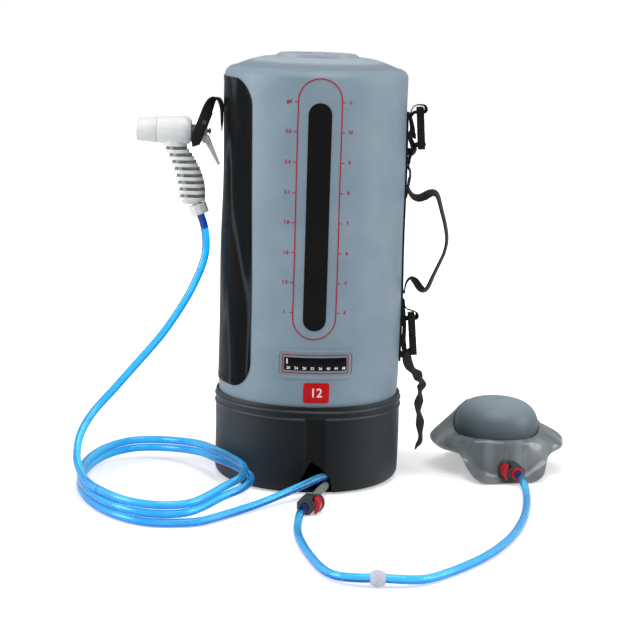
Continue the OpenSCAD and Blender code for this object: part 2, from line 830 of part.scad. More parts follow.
// Height in layers after a number of turns: level on each layer, with a long climb to the next
function ease(s) = s * s * (3 - 2 * s);
function layers(t) = floor(t) + ease(max(0, min(1, (t - floor(t) - climb_from) / climb_span)));
function hump(turn, from, span) = pow(sin(180 * max(0, min(1, (turn - from) / span))), 2);
function coil_at(t) = let (
    turn = 360 * (t - floor(t)),
    out = (coil_bulge - coil_fan * floor(t)) * hump(turn, bulge_from, bulge_span),
    along = coil_long * cos(turn),
    across = coil_short * sin(turn)
) [
    coil_centre[0] + sin(coil_tilt) * along - cos(coil_tilt) * across + out,
    coil_centre[1] - cos(coil_tilt) * along - sin(coil_tilt) * across - out / 7,
    floor_hose_z + coil_step * layers(t) + coil_lean * hump(turn, lean_from, lean_span)
];
coil_rings = round(coil_turns * loop_rings);
coil_run = [for (i = [0:coil_rings]) coil_at(coil_turns * i / coil_rings)];
coil_in_way = unit(coil_at(0.001) - coil_at(0));
coil_out_way = unit(coil_at(coil_turns) - coil_at(coil_turns - 0.001));
coil_start = coil_run[0] - coil_in_way * hose_d;
coil_end = coil_run[coil_rings] + coil_out_way * hose_d;
coil_points = concat([coil_start], coil_run, [coil_end]);

// Least gap between strands of the coil that are more than a third of a loop apart
coil_gap = min([for (i = [0:coil_rings], j = [i + loop_rings / 3:1:coil_rings])
    norm(coil_run[i] - coil_run[j]) - hose_d]);
echo(coil_least_gap = coil_gap);

lead_route = [
    [0, -116, 15], [-17, -132.5, 11], [-34, -149.5, 7.5],
    [-50, -167, 5.2], [-65, -185, 4.25], [-79, -203, 4.25], [-92, -219, 4.25], [-102, -229.5, 4.25]
];
lead_points = concat(
    [for (run_out = [0, 12, 32.4, 48.7]) outlet_face + outlet_way * run_out], lead_route,
    [coil_start - coil_in_way * 12, coil_start]
);

gun_hose_end = gun_origin + nut_bottom;
riser_route = [
    [-230, -153, 24.5], [-237, -134, 28.5], [-242, -117, 34], [-244, -102, 42], [-243.5, -89, 52],
    [-240, -78, 62], [-234, -69, 72], [-226, -60, 82], [-213, -51, 96], [-199, -44, 112], [-186, -38, 127],
    [-173, -32, 142], [-161.5, -26, 156], [-151, -21, 171], [-141.5, -17, 186], [-133, -13, 201],
    [-126, -9, 216], [-120.5, -6, 230], [-117, -3, 245], [-117, -1, 261]
];
riser_points = concat(
    [coil_end, coil_end + coil_out_way * 12], riser_route,
    [gun_hose_end + nut_down * 12, gun_hose_end]
);

module water_hose_lead() {
    color("dodgerblue") tube(lead_points, hose_r, 8, [0, 0, 1]);
}

module water_hose_coil() {
    color("dodgerblue") tube(coil_points, hose_r, 6, [0, 0, 1]);
}

module water_hose_riser() {
    color("dodgerblue") tube(riser_points, hose_r, 8, [0, 1, 0]);
}

// Quick couplings, in a frame with +Z along the hose, +Y up and the button towards +X
pump_pos = [215, 45, 0];
pump_turn = 13;
pump_way = heading(pump_turn);
pump_pipe_z = coupling_r + 4;
pump_coupling_out = 72;
pump_coupling_pos = pump_pos + pump_way * pump_coupling_out + [0, 0, pump_pipe_z];
collet_l = 4;
pocket_floor = 5.6;
pocket_half = 7;
button_gap = 3;
// The button is a half moon: its round, and how far it stands off the body
button_r = 9.8;
button_reach = coupling_r + 5.6;
button_rim = 1.3;

module at_coupling(pos, turn, side) {
    translate(pos) rotate([90, 0, turn]) rotate([0, 0, side > 0 ? 0 : 180]) children();
}

// A slice of a round that bulges towards +X, from a flat at a distance from the axis
module half_moon(flat, r, h) {
    intersection() {
        translate([button_reach - button_r, 0, 0]) cylinder(h = h, r = r);
        translate([flat, -coupling_r, 0]) cube([30, 2 * coupling_r, h]);
    }
}

module coupling_body() {
    half = coupling_l / 2;
    difference() {
        union() {
            translate([0, 0, -half]) rotate([0, 0, 22.5])
                cylinder(h = coupling_l, r = coupling_r / cos(22.5), $fn = 8);
            translate([0, 0, half - 0.5]) cylinder(h = collet_l + 0.5, r = hose_r);
            translate([0, 0, -half]) half_moon(pocket_floor, button_r + button_rim, half - pocket_half + 1);
        }
        translate([0, 0, -half - 1]) cylinder(h = plug_in + 1 + seat, r = pipe_r + seat);
        translate([0, 0, -half]) cylinder(h = coupling_l * 2, r = bore_r);
        translate([pocket_floor, -20, -pocket_half]) cube([20, 40, 2 * pocket_half]);
    }
}

module coupling_button() {
    face = pocket_floor + button_gap;
    difference() {
        translate([0, 0, -pocket_half + run]) half_moon(face, button_r, 2 * (pocket_half - run));
        translate([face - 1, 0, 0]) rotate([0, 90, 0]) cylinder(h = 6, r = 3);
    }
}

module coupling_spring() {
    translate([pocket_floor + seat, 0, 0]) rotate([0, 90, 0]) ring(2.6, 1.8, 5);
}

module coupling_collet() {
    translate([0, 0, coupling_l / 2 + seat]) ring(coupling_r * 0.72, hose_r + seat, collet_l - 2 * seat);
}

module tank_coupling_body() {
    color("dimgray") at_coupling(tank_coupling_pos, inlet_turn, 1) coupling_body();
}

module tank_coupling_button() {
    color("crimson") at_coupling(tank_coupling_pos, inlet_turn, 1) coupling_button();
}

module pump_coupling_body() {
    color("dimgray") at_coupling(pump_coupling_pos, pump_turn, -1) coupling_body();
}

module pump_coupling_button() {
    color("crimson") at_coupling(pump_coupling_pos, pump_turn, -1) coupling_button();
}

module coupling_springs() {
    color("silver") {
        at_coupling(tank_coupling_pos, inlet_turn, 1) coupling_spring();
        at_coupling(pump_coupling_pos, pump_turn, -1) coupling_spring();
    }
}

module coupling_collets() {
    color("crimson") {
        at_coupling(tank_coupling_pos, inlet_turn, 1) coupling_collet();
        at_coupling(pump_coupling_pos, pump_turn, -1) coupling_collet();
    }
}

// Air hose: from the tank coupling to the check valve, and on to the pump coupling
valve_pos = [71, -413, valve_r];
valve_stub = 8;
valve_left = valve_pos - [valve_l / 2, 0, 0];
valve_right = valve_pos + [valve_l / 2, 0, 0];
tank_hose_face = tank_coupling_pos + inlet_way * (coupling_l / 2 + collet_l);
pump_hose_face = pump_coupling_pos + pump_way * (coupling_l / 2 + collet_l);
air_tank_route = [
    [-4.2, -215, 7.4], [-5, -233, 5.2], [-5, -252, 4.25], [-3, -276, 4.25], [1, -302, 4.25],
    [5.8, -326, 4.25], [11.2, -348, 4.25], [17.5, -370, 4.25], [24.5, -388.5, 4.6],
    [32.3, -400.6, 5.4], [42.2, -408.6, 6.5]
];
air_pump_route = [
    [99.9, -410.8, 6.5], [112.5, -404.4, 5.2], [123.5, -394.2, 4.4], [136, -380, 4.25], [149, -364, 4.25],
    [168, -337, 4.25], [184, -309, 4.25], [197, -281, 4.25], [209, -250, 4.25], [219, -216, 4.25],
    [227, -182, 4.25], [233, -147, 4.25], [237, -114, 4.25], [239, -90, 4.9], [239, -70, 8]
];
air_tank_points = concat(
    [tank_hose_face, tank_hose_face + inlet_way * 12], air_tank_route,
    [valve_left - [valve_stub, 0, 0.3], valve_left]
);
air_pump_points = concat(
    [valve_right, valve_right + [valve_stub, 0, -0.3]], air_pump_route,
    [pump_hose_face + pump_way * 12, pump_hose_face]
);
echo(water_hose_mm = path_length(lead_points) + path_length(coil_points) + path_length(riser_points));
echo(air_hose_mm = path_length(air_tank_points) + path_length(air_pump_points));

module air_hose_tank_side() {
    color("dodgerblue") tube(air_tank_points, hose_r, 8, [0, 0, 1]);
}

module air_hose_pump_side() {
    color("dodgerblue") tube(air_pump_points, hose_r, 8, [0, 0, 1]);
}

// Check valve, in a frame with +X towards the pump
disc_t = 1.4;
disc_r = 4.6;
disc_room = disc_t + 2.6;

module check_valve_body() {
    color("whitesmoke") translate(valve_pos) rotate([0, 90, 0]) difference() {
        translate([0, 0, -valve_l / 2]) rotate([0, 0, 30]) cylinder(h = valve_l, r = valve_r, $fn = 6);
        translate([0, 0, -disc_room / 2]) cylinder(h = disc_room, r = disc_r + run);
        translate([0, 0, -valve_l]) cylinder(h = 2 * valve_l, r = bore_r);
    }
}

module check_valve_disc() {
    color("black") translate(valve_pos + [disc_room / 2 - disc_t - run, 0, 0]) rotate([0, 90, 0])
        cylinder(h = disc_t, r = disc_r);
}

// Foot pump, in a frame at its middle on the floor
foam_r = dome_r - dome_wall - 3;
base_sheet_t = 1.5;
foam_foot_r = 20;
foam_foot_h = 30;
base_sheet_r = foam_foot_r + 4;
rim_w = 1.8;
skirt_film_t = 1.2;
skirt_top_r = dome_r + 1.2;
skirt_top_z = dome_z - run;
crown_hole_r = 4;
flap_r = 7;
flap_t = 1.2;
flap_z = dome_z + dome_h - dome_wall - flap_t - 2 * run;
flap_pin_r = 0.75;
flap_pin_z = flap_z + flap_t / 2;
lug_in = 3.8;
lug_t = 1.6;
post_w = 2 * pipe_r - 1.4;

module at_pump() {
    translate(pump_pos) children();
}

module pump_base() {
    tongue_l = foam_r + post_w;
    color("gray") at_pump() {
        cylinder(h = base_sheet_t, r = base_sheet_r, $fn = 96);
        rotate([0, 0, pump_turn]) translate([-base_sheet_r / 2, -tongue_l, 0])
            cube([base_sheet_r, tongue_l, base_sheet_t]);
    }
}

// The dome's outline as a flattened quarter arc
function dome_arc(r, h) = [for (a = [0:7.5:90]) [r * pow(cos(a), 0.7), dome_z + h * pow(sin(a), 0.7)]];

module pump_dome() {
    outer = dome_arc(dome_r, dome_h);
    inner = dome_arc(dome_r - dome_wall, dome_h - dome_wall);
    last = len(outer) - 1;
    color("slategray") at_pump() difference() {
        union() {
            rotate_extrude($fn = 96) polygon(concat(outer, [for (i = [last:-1:0]) inner[i]]));
            translate([0, 0, dome_z]) ring(dome_r + rim_w, dome_r - dome_wall, 2, $fn = 96);
            for (side = [-1, 1]) {
                translate([side * (lug_in + lug_t / 2) - lug_t / 2, flap_r - 0.9, flap_pin_z - 1.7])
                    cube([lug_t, 2.6, dome_z + dome_h - dome_wall / 2 - flap_pin_z + 1.7]);
            }
        }
        translate([-lug_in - lug_t - 1, flap_r, flap_pin_z]) rotate([0, 90, 0])
            cylinder(h = 2 * (lug_in + lug_t + 1), r = flap_pin_r + pin_gap);
        translate([0, 0, dome_z + dome_h / 2]) cylinder(h = dome_h, r = crown_hole_r);
    }
}

module intake_flap() {
    tongue_w = 2 * (lug_in - 1);
    pin_l = 2 * (lug_in + lug_t) + 0.4;
    color("black") at_pump() {
        translate([0, 0, flap_z]) cylinder(h = flap_t, r = flap_r - 1);
        translate([-tongue_w / 2, 0, flap_z]) cube([tongue_w, flap_r, flap_t]);
        translate([-pin_l / 2, flap_r, flap_pin_z]) rotate([0, 90, 0]) cylinder(h = pin_l, r = flap_pin_r);
    }
}

module pump_foam() {
    waist_z = dome_z + dome_h * 0.4;
    top_z = dome_z + dome_h * 0.66;
    color("lightgray") at_pump() difference() {
        union() {
            translate([0, 0, base_sheet_t + seat]) cylinder(h = foam_foot_h, r1 = foam_foot_r, r2 = foam_r);
            translate([0, 0, base_sheet_t + seat + foam_foot_h])
                cylinder(h = waist_z - base_sheet_t - seat - foam_foot_h, r = foam_r);
            translate([0, 0, waist_z]) cylinder(h = top_z - waist_z, r1 = foam_r, r2 = foam_r * 0.68);
        }
        rod([0, 0, pump_pipe_z] + pump_way * (foam_r - 6), [0, 0, pump_pipe_z] + pump_way * 80, pipe_r + run);
    }
}

module pump_outlet() {
    way = pump_way;
    level = [0, 0, pump_pipe_z];
    start = foam_r - 4;
    plug_end = pump_coupling_out - coupling_l / 2 + plug_in;
    color("gray") at_pump() difference() {
        union() {
            rod(level + way * start, level + way * plug_end, pipe_r);
            rotate([0, 0, pump_turn]) translate([-post_w / 2, -foam_r - 1 - post_w / 2, base_sheet_t])
                cube([post_w, post_w / 2, pump_pipe_z - base_sheet_t]);
        }
        rod(level + way * (start - 1), level + way * (plug_end + 1), bore_r);
    }
}

// The film skirt: a flap to the floor along the pipe's line, front and back, and a lifted wing at each side
skirt_sides = 72;
skirt_steps = 8;
flap_half = 20;
flap_fade = 26;
function off_flap(a) = abs((((a - pump_turn + 90) % 180) + 180) % 180 - 90);
function flap_share(a) = 1 - ease(max(0, min(1, (off_flap(a) - flap_half) / flap_fade)));
function wing_share(a) = pow(abs(sin(a)), 5);
function lobe_r(a) = film_r + lobe_l * max(flap_share(a), wing_share(a));
function edge_z(a) = skirt_film_t + wing_z * (1 - flap_share(a));
function drop_power(a) = 1.3 + 4.7 * flap_share(a);
function skirt_at(a, s, inset) =
    let (r = lerp(skirt_top_r, lobe_r(a), s) - inset,
        z = edge_z(a) + (skirt_top_z - edge_z(a)) * pow(1 - s, drop_power(a)) - inset)
    [r * sin(a), -r * cos(a), z];

module pump_skirt() {
    outer = [for (i = [0:skirt_steps], k = [0:skirt_sides - 1])
        skirt_at(360 * k / skirt_sides, pow(i / skirt_steps, 1.5), 0)];
    inner = [for (i = [skirt_steps:-1:0], k = [0:skirt_sides - 1])
        skirt_at(360 * k / skirt_sides, pow(i / skirt_steps, 1.5), skirt_film_t - 0.2)];
    loops = 2 * (skirt_steps + 1);
    n = skirt_sides;
    faces = concat(
        [for (i = [0:loops - 1], k = [0:n - 1]) [i * n + k, ((i + 1) % loops) * n + k,
            ((i + 1) % loops) * n + (k + 1) % n]],
        [for (i = [0:loops - 1], k = [0:n - 1]) [i * n + k, ((i + 1) % loops) * n + (k + 1) % n,
            i * n + (k + 1) % n]]
    );
    color("lightgray", 0.6) at_pump() difference() {
        polyhedron(concat(outer, inner), faces, convexity = 8);
        rod([0, 0, pump_pipe_z] + pump_way * foam_r, [0, 0, pump_pipe_z] + pump_way * 90, pipe_r + run);
    }
}

tank_wall();
top_panel();
tank_floor();
fill_neck();
fill_cap();
cap_gasket();
level_window();
thermometer_frame();
thermometer_strip();
capacity_badge();
solar_panel();
base_skirt();
skirt_piping();
base_plate();
water_outlet();
air_inlet();
bulkhead_nuts();
inlet_spigot();
holster_strap();
holster_stud();
side_webbing();
carry_handle();
buckle_webbing();
upper_buckle_socket();
upper_buckle_plug();
lower_buckle_socket();
lower_buckle_plug();
strap_tail();
gun_body_near();
gun_body_far();
spray_nozzle();
rose_plate();
rear_gland();
trigger();
trigger_pin();
valve_stem();
valve_washer();
valve_spring();
inner_tube();
hose_tail();
hose_nut();
water_hose_lead();
water_hose_coil();
water_hose_riser();
air_hose_tank_side();
air_hose_pump_side();
tank_coupling_body();
tank_coupling_button();
pump_coupling_body();
pump_coupling_button();
coupling_springs();
coupling_collets();
check_valve_body();
check_valve_disc();
pump_base();
pump_skirt();
pump_dome();
pump_foam();
pump_outlet();
intake_flap();
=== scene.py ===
# %% [markdown]
# # A camp shower in Blender
# A soft water tank stands on a black base, with a spray gun on a clear blue hose and a foot pump that
# presses air in. The solid model gives every size and place. This lesson gives each piece its real
# surface: swelling film, woven webbing, clear tube and moulded plastic.

import json
import math

import bmesh
import bpy
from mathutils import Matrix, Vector

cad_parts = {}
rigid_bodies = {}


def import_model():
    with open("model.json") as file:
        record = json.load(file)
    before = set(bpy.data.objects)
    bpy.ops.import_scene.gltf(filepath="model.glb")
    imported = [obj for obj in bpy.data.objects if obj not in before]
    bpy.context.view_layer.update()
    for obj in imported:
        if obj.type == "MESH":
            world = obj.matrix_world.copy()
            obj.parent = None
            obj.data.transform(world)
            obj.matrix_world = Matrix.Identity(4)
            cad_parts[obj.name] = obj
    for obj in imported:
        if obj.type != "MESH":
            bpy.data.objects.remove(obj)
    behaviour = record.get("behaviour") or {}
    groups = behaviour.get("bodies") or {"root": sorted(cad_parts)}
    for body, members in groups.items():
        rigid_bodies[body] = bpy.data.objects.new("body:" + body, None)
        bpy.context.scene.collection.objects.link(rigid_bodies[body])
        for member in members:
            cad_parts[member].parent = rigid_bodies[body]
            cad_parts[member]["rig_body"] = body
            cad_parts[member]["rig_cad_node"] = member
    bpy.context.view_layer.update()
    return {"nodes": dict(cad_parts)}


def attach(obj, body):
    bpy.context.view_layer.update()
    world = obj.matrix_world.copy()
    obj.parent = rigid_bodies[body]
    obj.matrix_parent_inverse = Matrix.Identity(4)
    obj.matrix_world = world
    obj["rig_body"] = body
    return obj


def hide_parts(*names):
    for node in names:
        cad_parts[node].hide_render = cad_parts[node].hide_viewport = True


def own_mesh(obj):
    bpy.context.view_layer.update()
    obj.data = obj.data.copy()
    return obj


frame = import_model()
nodes = frame["nodes"]
mm = 0.001
scene = bpy.context.scene
scene.view_settings.view_transform = "Standard"

# %% [markdown]
# ## The camera
# The photo was taken from in front, a little above the tank's top, with a long lens from about two metres.
# A camera can be aimed with a constraint or by its angles. Angles are used here because the picture also
# leans a little, so the turn about the lens comes first and the tilt after it.

# %% Camera
look_down = 0.1744
lean = 0.03
bpy.ops.object.camera_add(location=(0.0111, -2.1148, 0.5452))
camera = bpy.context.object
camera.name = "photo_camera"
camera.rotation_mode = "ZXY"
camera.rotation_euler = (math.pi / 2 - look_down, 0, lean)
camera.data.lens = 109.05
camera.data.sensor_width = 36
scene.camera = camera
print("camera:", tuple(round(v, 3) for v in camera.location))

# %% [markdown]
# ## Helpers for finishes
# Colours are written as hex values from the photo and turned to linear light, which shaders work in. One
# small function adds a node, sets it and links it, so that each finish below reads as a short list. No real
# surface is even, so nearly every finish has a noise that varies its colour and its roughness together.

# %% Helpers for finishes
def linear(hex_colour):
    """Turn an sRGB hex colour into linear RGBA."""
    parts = [int(hex_colour[i:i + 2], 16) / 255 for i in (1, 3, 5)]
    curve = [c / 12.92 if c <= 0.04045 else ((c + 0.055) / 1.055) ** 2.4 for c in parts]
    return (*curve, 1.0)


def add_node(tree, kind, settings=None, inputs=None, links=None):
    """Add a node, set its properties and sockets, and link sockets to outputs."""
    made = tree.nodes.new(kind)
    for key, value in (settings or {}).items():
        setattr(made, key, value)
    for key, value in (inputs or {}).items():
        made.inputs[key].default_value = value
    for key, source in (links or {}).items():
        tree.links.new(source, made.inputs[key])
    return made


def new_finish(name, sockets):
    """Start a material from its Principled shader, with the sockets that are the same all over."""
    material = bpy.data.materials.new(name)
    material.use_nodes = True
    shader = material.node_tree.nodes["Principled BSDF"]
    for key, value in sockets.items():
        shader.inputs[key].default_value = value
    return material, material.node_tree, shader


def patchy(tree, shader, vector, size_mm, detail, colours, roughness):
    """Vary roughness and colour in soft spots of a real size. Without colours only the roughness varies."""
    noise = add_node(tree, "ShaderNodeTexNoise", {}, {"Scale": 1 / (size_mm * mm), "Detail": detail},
                     {"Vector": vector})
    rough = add_node(tree, "ShaderNodeMapRange", {}, {"To Min": roughness[0], "To Max": roughness[1]},
                     {"Value": noise.outputs["Fac"]})
    tree.links.new(rough.outputs["Result"], shader.inputs["Roughness"])
    if colours:
        ramp = add_node(tree, "ShaderNodeValToRGB", {}, {}, {"Fac": noise.outputs["Fac"]})
        for stop, position, colour in zip(ramp.color_ramp.elements, (0.35, 0.65), colours):
            stop.position = position
            stop.color = linear(colour)
        tree.links.new(ramp.outputs["Color"], shader.inputs["Base Color"])
    return noise


def cover(material, share, colour):
    """Lay a colour over a finish's own colour, by a share from 0 to 1."""
    tree = material.node_tree
    base = tree.nodes["Principled BSDF"].inputs["Base Color"]
    mix = add_node(tree, "ShaderNodeMix", {"data_type": "RGBA"}, {7: linear(colour)},
                   {0: share, 6: base.links[0].from_socket})
    tree.links.new(mix.outputs[2], base)


print("finish helpers ready")

# %% [markdown]
# ## Coated film for the tank
# The tank is PVC tarpaulin: a woven cloth with a soft plastic coat. The coat gives a satin sheen, the cloth
# shows as a very fine grid, and handling leaves faint paler and darker patches. Real threads are 0.5 mm
# apart, too fine for this picture, so the grid is drawn at 1.6 mm. The map runs round the wall in metres, and
# a wave texture's period there is 0.314 divided by its scale.

# %% Coated film finishes
wave_period = 0.314


def coated_cloth(name, colours, roughness, thread_mm, depth, specular=0.4):
    """PVC-coated cloth with a woven grid along the piece's own map."""
    material, tree, shader = new_finish(name, {"IOR": 1.5, "Specular IOR Level": specular})
    place = add_node(tree, "ShaderNodeTexCoord")
    patchy(tree, shader, place.outputs["Object"], 45, 3.0, colours, (roughness - 0.06, roughness + 0.08))
    threads = []
    for direction in ("X", "Y"):
        threads.append(add_node(tree, "ShaderNodeTexWave", {"bands_direction": direction},
                                {"Scale": wave_period / (thread_mm * mm)}, {"Vector": place.outputs["UV"]}))
    grid = add_node(tree, "ShaderNodeMath", {"operation": "MULTIPLY"}, {},
                    {0: threads[0].outputs["Fac"], 1: threads[1].outputs["Fac"]})
    dents = add_node(tree, "ShaderNodeTexNoise", {}, {"Scale": 1 / (30 * mm), "Detail": 1.0},
                     {"Vector": place.outputs["Object"]})
    soft = add_node(tree, "ShaderNodeBump", {}, {"Strength": 0.35, "Distance": 1.2 * mm},
                    {"Height": dents.outputs["Fac"]})
    fine = add_node(tree, "ShaderNodeBump", {}, {"Strength": 0.25, "Distance": depth * mm},
                    {"Height": grid.outputs["Value"], "Normal": soft.outputs["Normal"]})
    tree.links.new(fine.outputs["Normal"], shader.inputs["Normal"])
    return material


def paint_light_by_height(material, low, high, foot, middle, top):
    """Paint light and shade into the base colour, from foot to top between two heights in millimetres."""
    tree = material.node_tree
    place = add_node(tree, "ShaderNodeTexCoord")
    parts = add_node(tree, "ShaderNodeSeparateXYZ", {}, {}, {"Vector": place.outputs["Object"]})
    height = add_node(tree, "ShaderNodeMapRange", {}, {"From Min": low * mm, "From Max": high * mm},
                      {"Value": parts.outputs["Z"]})
    painted_light_ramp = add_node(tree, "ShaderNodeValToRGB", {}, {}, {"Fac": height.outputs["Result"]})
    painted_light_ramp.color_ramp.elements[0].color = linear(foot)
    painted_light_ramp.color_ramp.elements[1].color = linear(top)
    painted_light_ramp.color_ramp.elements.new(0.5).color = linear(middle)
    tree.links.new(painted_light_ramp.outputs["Color"], tree.nodes["Principled BSDF"].inputs["Base Color"])


tank_film = coated_cloth("pvc_tarpaulin_grey", ("#798D9A", "#8395A2"), 0.45, 1.6, 0.12)
skirt_cloth = coated_cloth("pvc_tarpaulin_black", ("#0C0F12", "#13171A"), 0.44, 1.8, 0.18, 0.21)
# Painted shade: a darker finish for the faces inside the front fold.
fold_shade_cloth = coated_cloth("painted_fold_shade_black", ("#060708", "#0B0C0D"), 0.6, 1.2, 0.15, 0.2)
print("coated films ready")

# %% [markdown]
# ## Clear blue tube
# The hoses are extruded soft PVC, dyed blue and clear. Most of the light goes into the tube, is coloured and
# comes out again, and the rest is seen as a glossy blue skin. Light from above makes the upper side a
# paler cyan than the underside, so the colour follows the surface's own upward tilt. Fine lines from the die
# run along the tube and are too thin to show, so a soft streak noise stands for them.

# %% Tube finish
blue_tube, tree, shader = new_finish("clear_pvc_tube_blue", {
    "IOR": 1.5, "Transmission Weight": 0.78, "Specular IOR Level": 0.35, "Coat Weight": 0.1,
    "Coat Roughness": 0.1})
place = add_node(tree, "ShaderNodeTexCoord")
streak = patchy(tree, shader, place.outputs["Object"], 22, 2.0, None, (0.1, 0.22))
tilt = add_node(tree, "ShaderNodeSeparateXYZ", {}, {}, {"Vector": place.outputs["Normal"]})
waver = add_node(tree, "ShaderNodeMapRange", {}, {"To Min": -0.5, "To Max": 0.5},
                 {"Value": streak.outputs["Fac"]})
upward = add_node(tree, "ShaderNodeMath", {"operation": "ADD"}, {},
                  {0: tilt.outputs["Z"], 1: waver.outputs["Result"]})
share = add_node(tree, "ShaderNodeMapRange", {}, {"From Min": -0.9, "From Max": 0.9},
                 {"Value": upward.outputs["Value"]})
# The blue dye with painted light: paler cyan on the upper side, deeper blue on the underside.
dye_and_painted_light = add_node(tree, "ShaderNodeValToRGB", {}, {}, {"Fac": share.outputs["Result"]})
dye_and_painted_light.color_ramp.elements[0].color = linear("#007CF2")
dye_and_painted_light.color_ramp.elements[1].color = linear("#5CDAFF")
dye_and_painted_light.color_ramp.elements.new(0.5).color = linear("#16B0FF")
tree.links.new(dye_and_painted_light.outputs["Color"], shader.inputs["Base Color"])
print("tube ready")

# %% [markdown]
# ## The water hose
# One hose leaves the outlet under the tank, comes out through the notch, lies in a coil of two loops and a
# bit, and climbs to the spray gun. The route repeats the solid model's points, in millimetres, and its coil
# comes from the same formula. A curve with a round bevel keeps the tube's diameter true all along.

# %% Water hose route
hose_d = 8.5
coil_turns = 2.16
coil_centre = (-163, -101)
coil_half_length = 142
coil_half_width = 76
coil_tilt = math.radians(12)


def clamp(value):
    """Keep a share between 0 and 1."""
    return max(0.0, min(1.0, value))


def ease(value):
    """A share that starts and ends softly."""
    share = clamp(value)
    return share * share * (3 - 2 * share)


def heading(turn):
    """A level direction, turned from the front towards +X, in degrees."""
    return Vector((math.sin(math.radians(turn)), -math.cos(math.radians(turn)), 0))


def smooth_path(points, per_span):
    """Points on a smooth curve through the given ones."""
    dense = []
    last = len(points) - 1
    for i in range(last):
        before = points[max(i - 1, 0)]
        start = points[i]
        end = points[i + 1]
        after = points[min(i + 2, last)]
        square = 2 * before - 5 * start + 4 * end - after
        cube = 3 * start - before - 3 * end + after
        for k in range(per_span):
            t = k / per_span
            dense.append(0.5 * (2 * start + (end - before) * t + square * t * t + cube * t * t * t))
    dense.append(points[last])
    return dense


def path_length(points):
    """Length along a list of points."""
    return sum((b - a).length for a, b in zip(points, points[1:]))


def hump(degrees, start, span):
    """A smooth rise and fall over part of a turn."""
    return math.sin(math.pi * clamp((degrees - start) / span)) ** 2


def coil_at(turns):
    """A place on the coil: level layers, a long climb between them and a swell in front of the tank."""
    whole = math.floor(turns)
    layer = whole + ease((turns - whole - 0.28) / 0.3)
    angle = 2 * math.pi * turns
    degrees = 360 * (turns - whole)
    along = coil_half_length * math.cos(angle)
    across = coil_half_width * math.sin(angle)
    out = (27 - 7 * whole) * hump(degrees, 252, 73)
    lean = 12 * hump(degrees, 190, 160)
    return Vector((coil_centre[0] + math.sin(coil_tilt) * along - math.cos(coil_tilt) * across + out,
                   coil_centre[1] - math.cos(coil_tilt) * along - math.sin(coil_tilt) * across - out / 7,
                   hose_d / 2 + (hose_d + 0.6) * layer + lean))


outlet_ring = 83.55
lead_way = heading(-46)
outlet_face = heading(47.9) * outlet_ring + Vector((0, 0, 18.8)) + lead_way * 16
coil_in = (coil_at(0.001) - coil_at(0)).normalized()
coil_out = (coil_at(coil_turns) - coil_at(coil_turns - 0.001)).normalized()
coil_start = coil_at(0) - coil_in * hose_d
coil_end = coil_at(coil_turns) + coil_out * hose_d
nut_tilt = math.radians(20)
nut_down = Vector((math.sin(nut_tilt), 0, -math.cos(nut_tilt)))
gun_origin = Vector((-137, 0, 378))
gun_hose_end = gun_origin + Vector((9.3, 0, -80.4)) + nut_down * 11.4
lead = [(0, -116, 15), (-17, -132.5, 11), (-34, -149.5, 7.5),
        (-50, -167, 5.2), (-65, -185, 4.25), (-79, -203, 4.25), (-92, -219, 4.25), (-102, -229.5, 4.25)]
riser = [(-230, -153, 24.5), (-237, -134, 28.5), (-242, -117, 34), (-244, -102, 42), (-243.5, -89, 52),
         (-240, -78, 62), (-234, -69, 72), (-226, -60, 82), (-213, -51, 96), (-199, -44, 112),
         (-186, -38, 127), (-173, -32, 142), (-161.5, -26, 156), (-151, -21, 171), (-141.5, -17, 186),
         (-133, -13, 201), (-126, -9, 216), (-120.5, -6, 230), (-117, -3, 245), (-117, -1, 261)]
water_points = [outlet_face + lead_way * run for run in (0, 12, 32.4, 48.7)]
water_points += [Vector(p) for p in lead]
water_points += [coil_start - coil_in * 12, coil_start]
water_points += [coil_at(coil_turns * i / 52) for i in range(53)]
water_points += [coil_end, coil_end + coil_out * 12]
water_points += [Vector(p) for p in riser]
water_points += [gun_hose_end + nut_down * 12, gun_hose_end]
print("water hose:", round(path_length(water_points)), "mm")

# %% Lay a hose along its route
def lay_hose(name, points, finish):
    """A curve with a round bevel along smooth points given in millimetres."""
    route = [p * mm for p in smooth_path(points, 4)]
    line = bpy.data.curves.new(name, "CURVE")
    line.dimensions = "3D"
    line.bevel_depth = hose_d / 2 * mm
    line.bevel_resolution = 5
    line.use_fill_caps = True
    strand = line.splines.new("POLY")
    strand.points.add(len(route) - 1)
    for spot, p in zip(strand.points, route):
        spot.co = (*p, 1)
    strand.use_smooth = True
    hose = bpy.data.objects.new(name, line)
    scene.collection.objects.link(hose)
    line.materials.append(finish)
    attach(hose, "shower")
    return hose, path_length(route)


water_hose, water_length = lay_hose("water_hose", water_points, blue_tube)
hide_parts("water_hose_lead", "water_hose_coil", "water_hose_riser")
print("water hose laid:", round(water_length, 3), "m")

# %% [markdown]
# ## The air hose
# The air hose runs from the quick coupling at the tank to a check valve on the floor, and on to the coupling
# at the foot pump. It is two hoses, because the valve sits between them.

